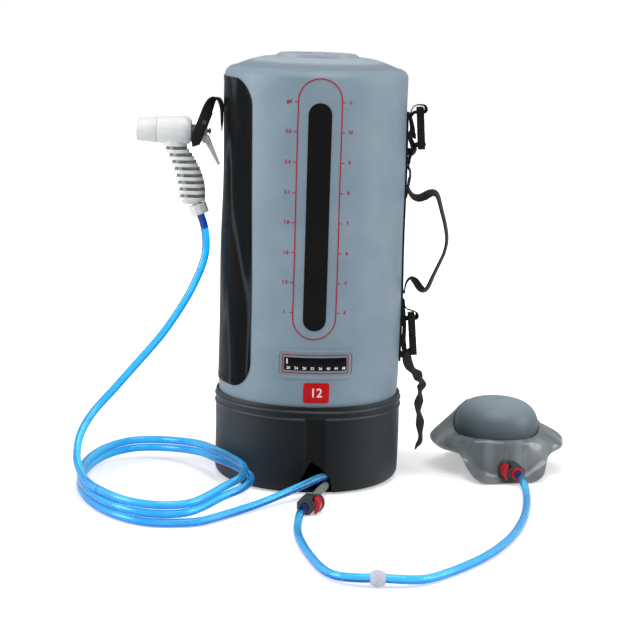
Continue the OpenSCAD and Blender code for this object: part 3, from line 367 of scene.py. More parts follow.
# %% Air hose
pump_place = Vector((215, 45, 0))
tank_way = heading(-13)
pump_way = heading(13)
coupling_half = 14
tank_coupling = heading(29.4) * (outlet_ring - 20.4) + Vector((0, 0, 9.2)) + tank_way * 120
pump_coupling = pump_place + pump_way * 72 + Vector((0, 0, 13.2))
tank_face = tank_coupling + tank_way * coupling_half
pump_face = pump_coupling + pump_way * coupling_half
valve_left = Vector((64, -413, 7.75))
valve_right = Vector((78, -413, 7.75))
tank_side = [(-4.2, -215, 7.4), (-5, -233, 5.2), (-5, -252, 4.25), (-3, -276, 4.25), (1, -302, 4.25),
             (5.8, -326, 4.25), (11.2, -348, 4.25), (17.5, -370, 4.25), (24.5, -388.5, 4.6),
             (32.3, -400.6, 5.4), (42.2, -408.6, 6.5), (56, -413, 7.45)]
pump_side = [(86, -413, 7.45), (99.9, -410.8, 6.5), (112.5, -404.4, 5.2), (123.5, -394.2, 4.4),
             (136, -380, 4.25), (149, -364, 4.25), (168, -337, 4.25), (184, -309, 4.25), (197, -281, 4.25),
             (209, -250, 4.25), (219, -216, 4.25), (227, -182, 4.25), (233, -147, 4.25), (237, -114, 4.25),
             (239, -90, 4.9), (239, -70, 8)]
tank_points = [tank_face, tank_face + tank_way * 12] + [Vector(p) for p in tank_side] + [valve_left]
pump_points = [pump_face, pump_face + pump_way * 12]
pump_points += [Vector(p) for p in reversed(pump_side)] + [valve_right]
air_tank, air_tank_length = lay_hose("air_hose_to_tank", tank_points, blue_tube)
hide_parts("air_hose_tank_side")
air_pump, air_pump_length = lay_hose("air_hose_to_pump", pump_points, blue_tube)
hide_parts("air_hose_pump_side")
print("air hoses:", round(air_tank_length, 3), round(air_pump_length, 3), "m")

# %% [markdown]
# ### Barbs inside the hose ends
# At each fitting the hose is pushed over a dark barb, which shows through the clear tube for 14 to 21 mm. The
# tube's colour turns to the barb's by the distance from the fitting's face.

# %% Dark hose ends
tree = blue_tube.node_tree
place = add_node(tree, "ShaderNodeTexCoord")
for face, barb in ((gun_hose_end, 16.5), (tank_face, 21), (pump_face, 14)):
    away = add_node(tree, "ShaderNodeVectorMath", {"operation": "DISTANCE"}, {1: face * mm},
                    {0: place.outputs["Object"]})
    near = add_node(tree, "ShaderNodeMapRange", {},
                    {"From Min": barb * mm, "From Max": (barb + 2) * mm, "To Min": 1, "To Max": 0},
                    {"Value": away.outputs["Value"]})
    cover(blue_tube, near.outputs["Result"], "#0A3C96")
print("hose ends ready")

# %% [markdown]
# ## Helpers for modelling
# Each piece starts from a primitive that is added at its size and shaped in edit mode. An operator acts on
# all that is selected, so everything is deselected first. A finished piece has its place in its mesh.

# %% Helpers for modelling
def start_piece():
    """Leave edit mode and deselect everything."""
    active = bpy.context.view_layer.objects.active
    if active is not None and active.mode != "OBJECT":
        bpy.ops.object.mode_set(mode="OBJECT")
    bpy.ops.object.select_all(action="DESELECT")
    bpy.context.view_layer.objects.active = None


def hold(piece):
    """Make one piece selected and active."""
    start_piece()
    piece.select_set(True)
    bpy.context.view_layer.objects.active = piece


def apply_modifiers(piece):
    """Apply every modifier in order."""
    hold(piece)
    for modifier in list(piece.modifiers):
        bpy.ops.object.modifier_apply(modifier=modifier.name)


def smooth(piece, degrees=35):
    """Shade smooth, with creases kept at sharp edges."""
    hold(piece)
    bpy.ops.object.shade_smooth_by_angle(angle=math.radians(degrees))


def fit_out(piece, finish, body, slot, *replaced):
    """Give a finished piece its material, its body and the CAD nodes that it stands for."""
    hold(piece)
    bpy.ops.object.transform_apply(location=True, rotation=True, scale=True)
    piece.data.materials.clear()
    piece.data.materials.append(finish)
    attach(piece, body)
    if replaced:
        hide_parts(*replaced)
    return piece


def join(parts, name):
    """Join pieces into the first one and name it."""
    hold(parts[0])
    for part in parts:
        part.select_set(True)
    bpy.ops.object.join()
    joined = bpy.context.object
    joined.name = name
    joined.data.name = name
    return joined


def add_wall(piece, thickness, offset=-1):
    """Give a skin its thickness in millimetres, inwards unless an offset says otherwise."""
    wall = piece.modifiers.new("wall", "SOLIDIFY")
    wall.thickness = thickness * mm
    wall.offset = offset


def add_round(piece, width, angle, segments=2):
    """Round the edges that are sharper than an angle in degrees."""
    bevel = piece.modifiers.new("edge", "BEVEL")
    bevel.width = width * mm
    bevel.segments = segments
    bevel.limit_method = "ANGLE"
    bevel.angle_limit = math.radians(angle)


def even_normals(piece):
    """Let all faces of a piece look the same way."""
    hold(piece)
    bpy.ops.object.mode_set(mode="EDIT")
    bpy.ops.mesh.select_all(action="SELECT")
    bpy.ops.mesh.normals_make_consistent(inside=False)
    bpy.ops.object.mode_set(mode="OBJECT")


def single_point(name, spot):
    """A new piece of one point at a place in millimetres, left in edit mode to be drawn out."""
    start_piece()
    bpy.ops.mesh.primitive_plane_add(size=0.01)
    piece = bpy.context.object
    piece.name = name
    piece.data.name = name
    bpy.ops.object.mode_set(mode="EDIT")
    bpy.ops.mesh.merge(type="CENTER")
    shape = bmesh.from_edit_mesh(piece.data)
    shape.verts.ensure_lookup_table()
    shape.verts[0].co = spot * mm
    bmesh.update_edit_mesh(piece.data)
    return piece


def draw_out(points):
    """Extrude what is selected from point to point, in millimetres."""
    for a, b in zip(points, points[1:]):
        bpy.ops.mesh.extrude_region_move(TRANSFORM_OT_translate={"value": (b - a) * mm})


print("modelling helpers ready")

# %% [markdown]
# ### Turned pieces
# Tank, skirt, dome and foam are round, so they are turned: a profile is drawn point by point and spun round
# the upright axis. A map that runs round and up in metres lets a weave keep its size on all of them.

# %% Helpers for turned pieces
def turn_of(spot):
    """The angle of a place round the upright axis, from the front."""
    return math.atan2(spot.x, -spot.y)


def face_outwards(piece, centre):
    """Turn the faces round if most of them look towards the upright axis through centre."""
    middle = Vector(centre)
    outward = 0.0
    for face in piece.data.polygons:
        radial = face.center - middle
        outward += face.normal.dot(Vector((radial.x, radial.y, 0.3 * radial.z))) * face.area
    if outward < 0:
        hold(piece)
        bpy.ops.object.mode_set(mode="EDIT")
        bpy.ops.mesh.select_all(action="SELECT")
        bpy.ops.mesh.flip_normals()
        bpy.ops.object.mode_set(mode="OBJECT")


def turned(name, profile, steps, middle_z):
    """Spin a profile of (radius, height) in millimetres round the upright axis, with its faces outwards."""
    points = [Vector((r, 0, z)) for r, z in profile]
    piece = single_point(name, points[0])
    draw_out(points)
    bpy.ops.mesh.select_all(action="SELECT")
    bpy.ops.mesh.spin(steps=steps, angle=2 * math.pi, center=(0, 0, 0), axis=(0, 0, 1))
    bpy.ops.mesh.select_all(action="SELECT")
    bpy.ops.mesh.remove_doubles(threshold=0.000001)
    even_normals(piece)
    face_outwards(piece, (0, 0, middle_z * mm))
    return piece


def own_map(piece):
    """The piece's UV map, made if there is none."""
    layers = piece.data.uv_layers
    return layers[0] if layers else layers.new(name="UVMap")


def map_in_metres(piece, radius):
    """A map that runs round the upright axis and up, both in metres."""
    layer = own_map(piece)
    for face in piece.data.polygons:
        middle = turn_of(face.center)
        for corner in face.loop_indices:
            p = piece.data.vertices[piece.data.loops[corner].vertex_index].co
            turn = turn_of(p)
            if turn - middle > math.pi:
                turn -= 2 * math.pi
            if middle - turn > math.pi:
                turn += 2 * math.pi
            layer.data[corner].uv = (turn * radius * mm, p.z)


def widen(piece, ratio_at):
    """Move each point out from the upright axis by a ratio that depends on its angle and height."""
    for point in piece.data.vertices:
        ratio = ratio_at(turn_of(point.co), point.co.z / mm)
        point.co.x *= ratio
        point.co.y *= ratio


print("turning helpers ready")

# %% [markdown]
# ## The tank's wall
# A filled bag is never a perfect cylinder: long soft swells run over it, and it draws in a little above the
# base. One function gives the wall's radius at any place. The wall and all that is welded or printed on it
# use that function, so nothing floats or sinks.

# %% Wall
tank_r = 100
shoulder_z = 451
shoulder_r = 11


def wall_swell(turn, z):
    """How far the film stands off a true cylinder, in millimetres."""
    swell = 0.45 * math.sin(2 * turn + 0.021 * z + 0.6)
    swell += 0.35 * math.sin(3 * turn - 0.034 * z + 2.1)
    swell += 0.18 * math.sin(7 * turn + 0.047 * z)
    tuck = 1.1 * math.exp(-((z - 92) / 9) ** 2)
    return swell - tuck - 0.6


def wall_radius(turn, z):
    """The wall's radius in millimetres at an angle from the front and a height in millimetres."""
    over = max(0.0, z - (shoulder_z - shoulder_r))
    rounding = shoulder_r - math.sqrt(max(0.0, shoulder_r ** 2 - over ** 2))
    return tank_r + wall_swell(turn, z) - rounding


profile = [(tank_r, 84 + 7 * i) for i in range(51)]
for i in range(1, 9):
    angle = math.radians(90 * i / 8)
    profile.append((tank_r - shoulder_r + shoulder_r * math.cos(angle),
                    shoulder_z - shoulder_r + shoulder_r * math.sin(angle)))
tank_wall = turned("tank_wall_film", profile, 160, 260)
widen(tank_wall, lambda turn, z: 1 + wall_swell(turn, z) / tank_r)
map_in_metres(tank_wall, tank_r)
add_wall(tank_wall, 1.5)
apply_modifiers(tank_wall)
smooth(tank_wall, 60)
fit_out(tank_wall, tank_film, "shower", "tank_film", "tank_wall")
print("wall faces:", len(tank_wall.data.polygons))

# %% [markdown]
# ## The top panel
# The top is a round of the same film, welded to the wall along the shoulder and to the fill neck in the
# middle. Water pressure lifts it into a low cone with faint radial pulls. A turned profile is enough, with
# the pulls added as a small wave round the axis that dies out at both welds. The rim by the weld keeps the
# wall's grey, and the film above it is painted paler, as painted light from the lamp above.

# %% Top panel
top_film = coated_cloth("pvc_tarpaulin_pale", None, 0.45, 1.6, 0.12)
# Painted light: the film above the rim is painted paler, as if lit from above.
paint_light_by_height(top_film, shoulder_z + 4, shoulder_z + 7, "#7B8995", "#8997A1", "#9DACB5")
neck_z = shoulder_z + 10.5
cone_r = 87
profile = [(90.4, shoulder_z - 0.9), (89, shoulder_z - 0.1), (cone_r, shoulder_z + 0.6)]
for i in range(1, 12):
    profile.append((cone_r - i * 2.8, shoulder_z + 0.6 + i * 0.85 + 0.9 * math.sin(math.pi * i / 12)))
profile += [(53.2, neck_z - 0.2), (50, neck_z + 0.2), (44.9, neck_z + 0.2)]
top_panel = turned("top_panel_film", profile, 144, 400)
for point in top_panel.data.vertices:
    share = clamp((89 - math.hypot(point.co.x, point.co.y) / mm) / 35)
    point.co.z += 0.5 * mm * math.sin(11 * turn_of(point.co) + 0.7) * math.sin(math.pi * share)
map_in_metres(top_panel, 70)
add_wall(top_panel, 1.2)
apply_modifiers(top_panel)
smooth(top_panel, 60)
fit_out(top_panel, top_film, "shower", "top_film", "top_panel")
print("top faces:", len(top_panel.data.polygons))

# %% [markdown]
# ## Films that are welded or printed on the wall
# Window, thermometer, badge and solar panel are flat films that follow the wall. Each is made flat, sliced
# so that it can bend, given its thickness, and then laid on the wall by the same function as the wall
# itself.

# %% Flat films
def flat_patch(name, width, height, corner, rim=0.0, rise=0.0):
    """A flat rounded rectangle in millimetres, with a raised rim if asked."""
    start_piece()
    bpy.ops.mesh.primitive_plane_add(size=1)
    piece = bpy.context.object
    piece.name = name
    piece.data.name = name
    piece.scale = (width * mm, height * mm, 1)
    bpy.ops.object.transform_apply(location=False, rotation=False, scale=True)
    bpy.ops.object.mode_set(mode="EDIT")
    bpy.ops.mesh.select_all(action="SELECT")
    bpy.ops.mesh.bevel(offset=corner * mm, segments=10, affect="VERTICES")
    if rim:
        bpy.ops.mesh.select_all(action="SELECT")
        bpy.ops.mesh.inset(thickness=rim * mm)
        bpy.ops.mesh.inset(thickness=1.2 * mm, depth=-rise * mm)
    bpy.ops.object.mode_set(mode="OBJECT")
    return piece


def slice_up(piece, step_x, step_z):
    """Cut a flat piece into a grid so that it can bend."""
    hold(piece)
    low = [min(v.co[i] for v in piece.data.vertices) for i in (0, 1)]
    high = [max(v.co[i] for v in piece.data.vertices) for i in (0, 1)]
    bpy.ops.object.mode_set(mode="EDIT")
    for axis, step in ((0, step_x), (1, step_z)):
        count = max(1, round((high[axis] - low[axis]) / (step * mm)))
        for i in range(1, count):
            spot = [0, 0, 0]
            spot[axis] = low[axis] + (high[axis] - low[axis]) * i / count
            way = [0, 0, 0]
            way[axis] = 1
            bpy.ops.mesh.select_all(action="SELECT")
            bpy.ops.mesh.bisect(plane_co=spot, plane_no=way)
    bpy.ops.object.mode_set(mode="OBJECT")


def lay_on_wall(piece, turn_degrees, z, lift):
    """Bend a flat piece on to the wall, with its middle at an angle and a height in millimetres."""
    layer = own_map(piece)
    for face in piece.data.polygons:
        for corner in face.loop_indices:
            p = piece.data.vertices[piece.data.loops[corner].vertex_index].co
            layer.data[corner].uv = (p.x, p.y)
    for point in piece.data.vertices:
        turn = math.radians(turn_degrees) + point.co.x / (tank_r * mm)
        height = z + point.co.y / mm
        r = (wall_radius(turn, height) + lift) * mm + point.co.z
        point.co = (r * math.sin(turn), -r * math.cos(turn), height * mm)


def weld_on(piece, steps, thickness, edge, turn_degrees, z, lift, skew=0.0, angle=50):
    """Slice a flat film, give it thickness and a soft edge, and lay it on the wall."""
    slice_up(piece, *steps)
    add_wall(piece, thickness, 1)
    add_round(piece, edge, 50)
    apply_modifiers(piece)
    for point in piece.data.vertices:
        point.co.x -= skew * point.co.y
    lay_on_wall(piece, turn_degrees, z, lift)
    smooth(piece, angle)
    return piece


print("film helpers ready")

# %% [markdown]
# ### Glossy black films
# The solar panel is a glossy black PVC sheet with a welded border. Long pale streaks run down it, painted
# highlights of the reflections in its creases, drawn as the thin middle band of a stretched noise. The window
# is clear PVC with dark water behind it, so it reads as a smooth black.

# %% Glossy film finishes
def glossy_film(name, colours, roughness, ripple_mm, ripple, specular=0.16):
    """Smooth calendered film with slight ripples that bend its reflections."""
    material, tree, shader = new_finish(name, {"IOR": 1.45, "Specular IOR Level": specular})
    place = add_node(tree, "ShaderNodeTexCoord")
    patchy(tree, shader, place.outputs["Object"], 60, 2.0, colours, (roughness - 0.04, roughness + 0.08))
    stretch = add_node(tree, "ShaderNodeMapping", {}, {"Scale": (1, 1, 0.35)},
                       {"Vector": place.outputs["Object"]})
    wave = add_node(tree, "ShaderNodeTexNoise", {}, {"Scale": 1 / (ripple_mm * mm), "Detail": 1.5},
                    {"Vector": stretch.outputs["Vector"]})
    bump = add_node(tree, "ShaderNodeBump", {}, {"Strength": ripple, "Distance": 2 * mm},
                    {"Height": wave.outputs["Fac"]})
    tree.links.new(bump.outputs["Normal"], shader.inputs["Normal"])
    return material


solar_film = glossy_film("pvc_film_black_gloss", None, 0.3, 26, 0.6, 0.05)
tree = solar_film.node_tree
place = add_node(tree, "ShaderNodeTexCoord")
drawn = add_node(tree, "ShaderNodeMapping", {}, {"Rotation": (0.25, 0, 0), "Scale": (1, 1, 0.16)},
                 {"Vector": place.outputs["Object"]})
lines = add_node(tree, "ShaderNodeTexNoise", {}, {"Scale": 1 / (46 * mm), "Detail": 1.0},
                 {"Vector": drawn.outputs["Vector"]})
# Painted highlight: thin pale streaks stand for reflections in the creases.
painted_crease_glint = add_node(tree, "ShaderNodeValToRGB", {}, {}, {"Fac": lines.outputs["Fac"]})
painted_crease_glint.color_ramp.elements[0].position = 0.5
painted_crease_glint.color_ramp.elements[0].color = linear("#080B0C")
painted_crease_glint.color_ramp.elements[1].position = 0.56
painted_crease_glint.color_ramp.elements[1].color = linear("#0A0D0F")
painted_crease_glint.color_ramp.elements.new(0.53).color = linear("#33393C")
tree.links.new(painted_crease_glint.outputs["Color"], tree.nodes["Principled BSDF"].inputs["Base Color"])
window_film = glossy_film("pvc_window_dark", ("#08080A", "#0D0C0C"), 0.4, 40, 0.1)
strip_film = glossy_film("polyester_strip_black", ("#030304", "#070708"), 0.25, 40, 0.05)
badge_film = glossy_film("pvc_film_red", ("#B3060E", "#C80A12"), 0.3, 40, 0.08)
red_ink = glossy_film("screen_ink_red", ("#A01A2C", "#AE2236"), 0.4, 20, 0.05)
white_ink = glossy_film("screen_ink_white", ("#DADDDD", "#E6E8E8"), 0.4, 20, 0.05)
print("glossy films ready")

# %% Solar panel, level window, thermometer and badge
panel_height = 331
panel_foot = 108.6
thermo_turn = 4.7
thermo_z = 141.8
badge_turn = 5.4
badge_z = 110.8
solar_panel = flat_patch("solar_panel_film", 174.2, panel_height, 30, rim=4.5, rise=0.35)
weld_on(solar_panel, (4.5, 9), 0.6, 0.15, -90, panel_foot + panel_height / 2, 0.35, skew=0.024)
fit_out(solar_panel, solar_film, "shower", "panel", "solar_panel")
level_window = flat_patch("level_window_film", 24.5, 240, 12.2, rim=1.2, rise=0.3)
weld_on(level_window, (4, 12), 0.5, 0.12, 3, 297.8, 0.2)
fit_out(level_window, window_film, "shower", "window", "level_window")
thermometer_strip = flat_patch("thermometer_strip_film", 68.5, 14, 1.2)
weld_on(thermometer_strip, (4, 7), 0.4, 0.1, thermo_turn, thermo_z, 0.25)
fit_out(thermometer_strip, strip_film, "shower", "thermo", "thermometer_strip")
capacity_badge = flat_patch("capacity_badge_film", 28, 22, 3)
weld_on(capacity_badge, (4, 7), 0.4, 0.12, badge_turn, badge_z, 0.25)
fit_out(capacity_badge, badge_film, "shower", "badge", "capacity_badge")
print("solar panel faces:", len(solar_panel.data.polygons))

# %% [markdown]
# ### The weld round the thermometer
# The clear pocket over the thermometer is welded on, and the weld shows as a soft raised frame in the film's
# own grey. A flat ring is made by an inset and a deleted middle, and its thickness is then bevelled round.

# %% Thermometer frame
def flat_ring(name, width, height, corner, stroke):
    """A flat rounded rectangle with its middle taken out, in millimetres."""
    ring = flat_patch(name, width, height, corner)
    hold(ring)
    bpy.ops.object.mode_set(mode="EDIT")
    bpy.ops.mesh.select_all(action="SELECT")
    bpy.ops.mesh.inset(thickness=stroke * mm)
    bpy.ops.mesh.delete(type="FACE")
    bpy.ops.object.mode_set(mode="OBJECT")
    return ring


thermometer_frame = flat_ring("thermometer_weld", 87, 32, 8, 3.2)
weld_on(thermometer_frame, (4, 8), 1.1, 0.5, 4.9, thermo_z, -0.1, angle=60)
fit_out(thermometer_frame, tank_film, "shower", "tank_film", "thermometer_frame")
print("weld faces:", len(thermometer_frame.data.polygons))

# %% [markdown]
# ### The printed scale
# A red line runs round the window, with short marks and small numbers beside it: litres at the right and
# gallons at the left. Ink has almost no thickness, so each mark is a thin flat mesh laid on the wall. The
# numbers start as text, become meshes, and are joined to the line.

# %% Printed scale
scale_turn = 2.9
ink_lift = 0.3
marks = []


def print_at(piece, middle, off, z, lift):
    """Lay ink on the wall at a distance in millimetres to the side of a middle angle in degrees."""
    lay_on_wall(piece, middle + math.degrees(off / tank_r), z, lift)
    return piece


def ink_mark(name, width, height):
    """A short straight mark of ink."""
    return flat_patch(name, width, height, min(width, height) * 0.2)


def ink_number(name, number, size):
    """A number as a flat mesh."""
    start_piece()
    bpy.ops.object.text_add()
    label = bpy.context.object
    label.name = name
    label.data.body = number
    label.data.size = size * mm
    label.data.align_x = "CENTER"
    label.data.align_y = "CENTER"
    label.data.resolution_u = 3
    label.data.offset = 0.00015
    bpy.ops.object.convert(target="MESH")
    return bpy.context.object


outline = flat_ring("scale_outline", 47.6, 275.5, 23.7, 1.25)
slice_up(outline, 4, 12)
marks.append(print_at(outline, scale_turn, 0, 305.8, ink_lift))
litres = ["10", "9", "8", "7", "6", "5", "4"]
gallons = ["2.6", "2.4", "2.1", "1.8", "1.6", "1.3", "1"]
top_mark = 387.6
bottom_mark = 197
rows = []
for i in range(7):
    rows.append((top_mark - (top_mark - bottom_mark) * i / 6, 0.2, gallons[i], litres[i]))
rows.append((418.6, 0.4, "gal", "L"))
for z, rise, left, right in rows:
    for side, label in ((-1, left), (1, right)):
        mark = ink_mark("scale_mark", 3.2, 0.9)
        marks.append(print_at(mark, scale_turn, side * 25.6, z, ink_lift))
        number = ink_number("scale_label", label, 5.2)
        marks.append(print_at(number, scale_turn, side * 33.0, z + rise, ink_lift))
thermo_line = flat_ring("thermometer_outline", 73.5, 20.5, 2.5, 1.1)
slice_up(thermo_line, 4, 8)
marks.append(print_at(thermo_line, thermo_turn, 0, thermo_z, ink_lift))
fit_out(join(marks, "scale_print_red"), red_ink, "shower", "badge")
print("printed marks:", len(marks))

# %% White numbers
white_lift = 0.75
labels = []
for i in range(8):
    label = ink_number("thermometer_number", str(20 + 4 * i), 4.0)
    labels.append(print_at(label, thermo_turn, -29.5 + 8.6 * i, 137.4, white_lift))
labels.append(print_at(ink_mark("thermometer_bar", 1.6, 5.5), thermo_turn, -31, 144.6, white_lift))
labels.append(print_at(ink_number("capacity_number", "12", 13.5), badge_turn, 0, badge_z - 0.2, white_lift))
fit_out(join(labels, "number_print_white"), white_ink, "shower", "gun_white")
print("white labels:", len(labels))

# %% [markdown]
# ## The black skirt
# The tank stands in a skirt of heavy black tarpaulin that wraps round and meets at the front, where the edge
# folds in above the notch for the hoses. It is turned like the wall, drawn in along the fold, and the notch
# is cut with a boolean, as a blade would. The faces inside the fold take a second, darker finish: painted
# shade in the fold's recess.

# %% Skirt
skirt_r = 102.5
skirt_h = 95.8
fold_turn = 5.4
fold_depth = 2.6
floor_round = 10


def fold(turn):
    """How much of the front fold there is at an angle."""
    away = (math.degrees(turn) - fold_turn) / 6.0
    return math.exp(-away ** 6)


def skirt_radius(turn, z):
    """The skirt's outer radius in millimetres."""
    swell = 0.5 * math.sin(3 * turn + 0.05 * z + 0.4) + 0.3 * math.sin(5 * turn - 0.04 * z)
    return skirt_r - 0.5 + (swell - fold_depth * fold(turn)) * ease((83 - z) / 16)


profile = [(skirt_r - 3.6, skirt_h - 0.6), (skirt_r - 0.8, skirt_h), (skirt_r, skirt_h - 0.8)]
profile += [(skirt_r, skirt_h - 4 - 4.8 * i) for i in range(17)]
for i in range(1, 8):
    angle = math.radians(90 * i / 7)
    profile.append((skirt_r - floor_round + floor_round * math.cos(angle),
                    floor_round - floor_round * math.sin(angle)))
skirt = turned("base_skirt_cloth", profile, 180, 50)
widen(skirt, lambda turn, z: skirt_radius(turn, z) / skirt_r)
map_in_metres(skirt, skirt_r)
add_wall(skirt, 1.6)
apply_modifiers(skirt)
print("skirt faces:", len(skirt.data.polygons))

# %% Cut the notch
corners = [(-16, -3), (-5, 15), (1, 27), (4, 33), (7, 35), (10, 33.5),
           (15.8, 29.5), (26, 20), (28.5, 9), (29.6, -3)]
outline = [Vector((x, -140, z)) for x, z in corners]
blade = single_point("notch_blade", outline[0])
draw_out(outline)
bpy.ops.mesh.select_all(action="SELECT")
bpy.ops.mesh.edge_face_add()
bpy.ops.mesh.extrude_region_move(TRANSFORM_OT_translate={"value": (0, 0.08, 0)})
even_normals(blade)
notch = skirt.modifiers.new("notch", "BOOLEAN")
notch.operation = "DIFFERENCE"
notch.object = blade
notch.solver = "EXACT"
apply_modifiers(skirt)
bpy.data.objects.remove(blade)
smooth(skirt, 50)
fit_out(skirt, skirt_cloth, "shower", "skirt", "base_skirt")


def second_finish(piece, finish, is_there):
    """Give the faces for which is_there is true one more finish."""
    piece.data.materials.append(finish)
    for face in piece.data.polygons:
        if is_there(face):
            face.material_index = len(piece.data.materials) - 1


# Painted shade: the fold's recess takes the darker finish.
second_finish(skirt, fold_shade_cloth, lambda face: fold(turn_of(face.center)) > 0.5 and face.center.z < 80 * mm)
print("skirt faces after the cut:", len(skirt.data.polygons))

# %% [markdown]
# ### Painted light on the skirt
# The black cloth is painted dark round the fold, as shade, and grey towards the sides, as the side lamps'
# sheen, by the distance from the fold. The height doesn't count, so the distance is measured on the floor
# plan.

# %% Painted light on the skirt
fold_spot = (9.5 * mm, -101 * mm, 0)
tree = skirt_cloth.node_tree
place = add_node(tree, "ShaderNodeTexCoord")
plan = add_node(tree, "ShaderNodeVectorMath", {"operation": "MULTIPLY"}, {1: (1, 1, 0)},
                {0: place.outputs["Object"]})
away = add_node(tree, "ShaderNodeVectorMath", {"operation": "DISTANCE"}, {1: fold_spot},
                {0: plan.outputs["Vector"]})
painted_skirt_light = add_node(tree, "ShaderNodeMapRange", {}, {"From Min": 20 * mm, "From Max": 95 * mm},
                {"Value": away.outputs["Value"]})
# Painted shade near the fold, painted sheen towards the sides.
cover(skirt_cloth, painted_skirt_light.outputs["Result"], "#34393C")
print("dust ready")

# %% [markdown]
# ### Piping round the skirt
# Two cords are welded under a strip of film round the skirt's top. The lower one stops where the front edge
# folds in. Each is a torus drawn to the skirt's own radius, which pulls the lower one into the fold.

# %% Piping
piping_film = coated_cloth("pvc_piping_black", ("#2C3134", "#363B3E"), 0.36, 1.8, 0.05)
cords = []
for height, sink in ((89.8, 0.0), (82.0, 3.4)):
    start_piece()
    bpy.ops.mesh.primitive_torus_add(major_radius=(skirt_r - 0.35) * mm, minor_radius=1.6 * mm,
                                     major_segments=180, minor_segments=12, location=(0, 0, height * mm))
    cord = bpy.context.object
    bpy.ops.object.transform_apply(location=True, rotation=False, scale=False)
    for point in cord.data.vertices:
        turn = turn_of(point.co)
        r = math.hypot(point.co.x, point.co.y)
        ratio = 1 - (0.4 + sink * fold(turn)) * mm / r
        point.co.x *= ratio
        point.co.y *= ratio
        point.co.z += 0.3 * mm * math.sin(5 * turn + height)
    cords.append(cord)
piping = join(cords, "skirt_piping_cord")
map_in_metres(piping, skirt_r)
smooth(piping, 60)
fit_out(piping, piping_film, "shower", "piping", "skirt_piping")
print("piping faces:", len(piping.data.polygons))

# %% [markdown]
# ## Webbing
# Straps are woven nylon tape, black and matt, with ribs across the tape and a firm edge. The strap's own map
# gives the weave its direction: one wave across and one along. Ribs are 1.5 mm apart, close to the real ones.

# %% Webbing finish
webbing_nylon, tree, shader = new_finish("nylon_webbing_black", {
    "Specular IOR Level": 0.25, "Sheen Weight": 0.08})
place = add_node(tree, "ShaderNodeTexCoord")
patchy(tree, shader, place.outputs["Object"], 12, 3.0, ("#0A0B0B", "#151617"), (0.62, 0.85))
ribs = add_node(tree, "ShaderNodeTexWave", {"bands_direction": "Y"}, {"Scale": wave_period / (1.5 * mm)},
                {"Vector": place.outputs["UV"]})
yarns = add_node(tree, "ShaderNodeTexWave", {"bands_direction": "X"}, {"Scale": wave_period / (1.2 * mm)},
                 {"Vector": place.outputs["UV"]})
weave = add_node(tree, "ShaderNodeMath", {"operation": "MAXIMUM"}, {},
                 {0: ribs.outputs["Fac"], 1: yarns.outputs["Fac"]})
bump = add_node(tree, "ShaderNodeBump", {}, {"Strength": 0.6, "Distance": 0.3 * mm},
                {"Height": weave.outputs["Value"]})
tree.links.new(bump.outputs["Normal"], shader.inputs["Normal"])
print("webbing ready")

# %% Make a strap from an edge
def webbing(name, points, width, thickness, widths=None):
    """Draw an edge out along points in millimetres. Widths are the edge's directions, Y if none are given,
    and a shorter one makes the strap narrower there."""
    piece = single_point(name, Vector((0, 0, 0)))
    bpy.ops.mesh.extrude_region_move(TRANSFORM_OT_translate={"value": (0, width * mm, 0)})
    bpy.ops.mesh.select_all(action="SELECT")
    draw_out(points)
    bpy.ops.object.mode_set(mode="OBJECT")
    runs = [0.0]
    for a, b in zip(points, points[1:]):
        runs.append(runs[-1] + (b - a).length)
    for i, point in enumerate(points):
        across = widths[i] if widths else Vector((0, 1, 0))
        piece.data.vertices[2 * i].co = (point - across * width / 2) * mm
        piece.data.vertices[2 * i + 1].co = (point + across * width / 2) * mm
    layer = piece.data.uv_layers.new(name="UVMap")
    for face in piece.data.polygons:
        for corner in face.loop_indices:
            index = piece.data.loops[corner].vertex_index
            layer.data[corner].uv = ((index % 2) * width * mm, runs[index // 2] * mm)
    even_normals(piece)
    add_wall(piece, thickness, 0)
    add_round(piece, thickness * 0.28, 60)
    apply_modifiers(piece)
    smooth(piece, 40)
    return piece


def twisted(points, degrees):
    """Width directions for a strap that turns about its own line, by angles spread evenly along it."""
    ways = []
    last = len(points) - 1
    for i in range(last + 1):
        along = (points[min(i + 1, last)] - points[max(i - 1, 0)]).normalized()
        spot = i / last * (len(degrees) - 1)
        low = min(int(spot), len(degrees) - 2)
        angle = math.radians(degrees[low] + (degrees[low + 1] - degrees[low]) * (spot - low))
        side = Vector((0, 1, 0))
        ways.append(side * math.cos(angle) + along.cross(side) * math.sin(angle))
    return ways


def off_wall(points):
    """Points of a strap in the side plane, as a distance from the wall and a height."""
    return [Vector((tank_r + x, 0, z)) for x, z in points]


strap_width = 16
handle_points = [(3, 334), (3.3, 322), (8, 314), (14.5, 311.5), (21, 313.5), (27, 317), (32.5, 317.6),
                 (36.5, 313), (41, 298), (45.5, 282), (47.8, 266), (45.5, 252), (41, 241), (34, 225),
                 (29, 213), (25, 209.6), (20.5, 212), (14.5, 220), (9.5, 222.5), (5, 217), (3, 206)]
handle_line = smooth_path(off_wall(handle_points), 4)
handle_turns = [0, 10, 20, 24, 18, 14, 12, 12, 14, 16, 20, 30, 26, 12, 0]
handle_ways = twisted(handle_line, handle_turns)
carry_handle = webbing("carry_handle_tape", handle_line, strap_width, 1.6, handle_ways)
fit_out(carry_handle, webbing_nylon, "shower", "webbing", "carry_handle")

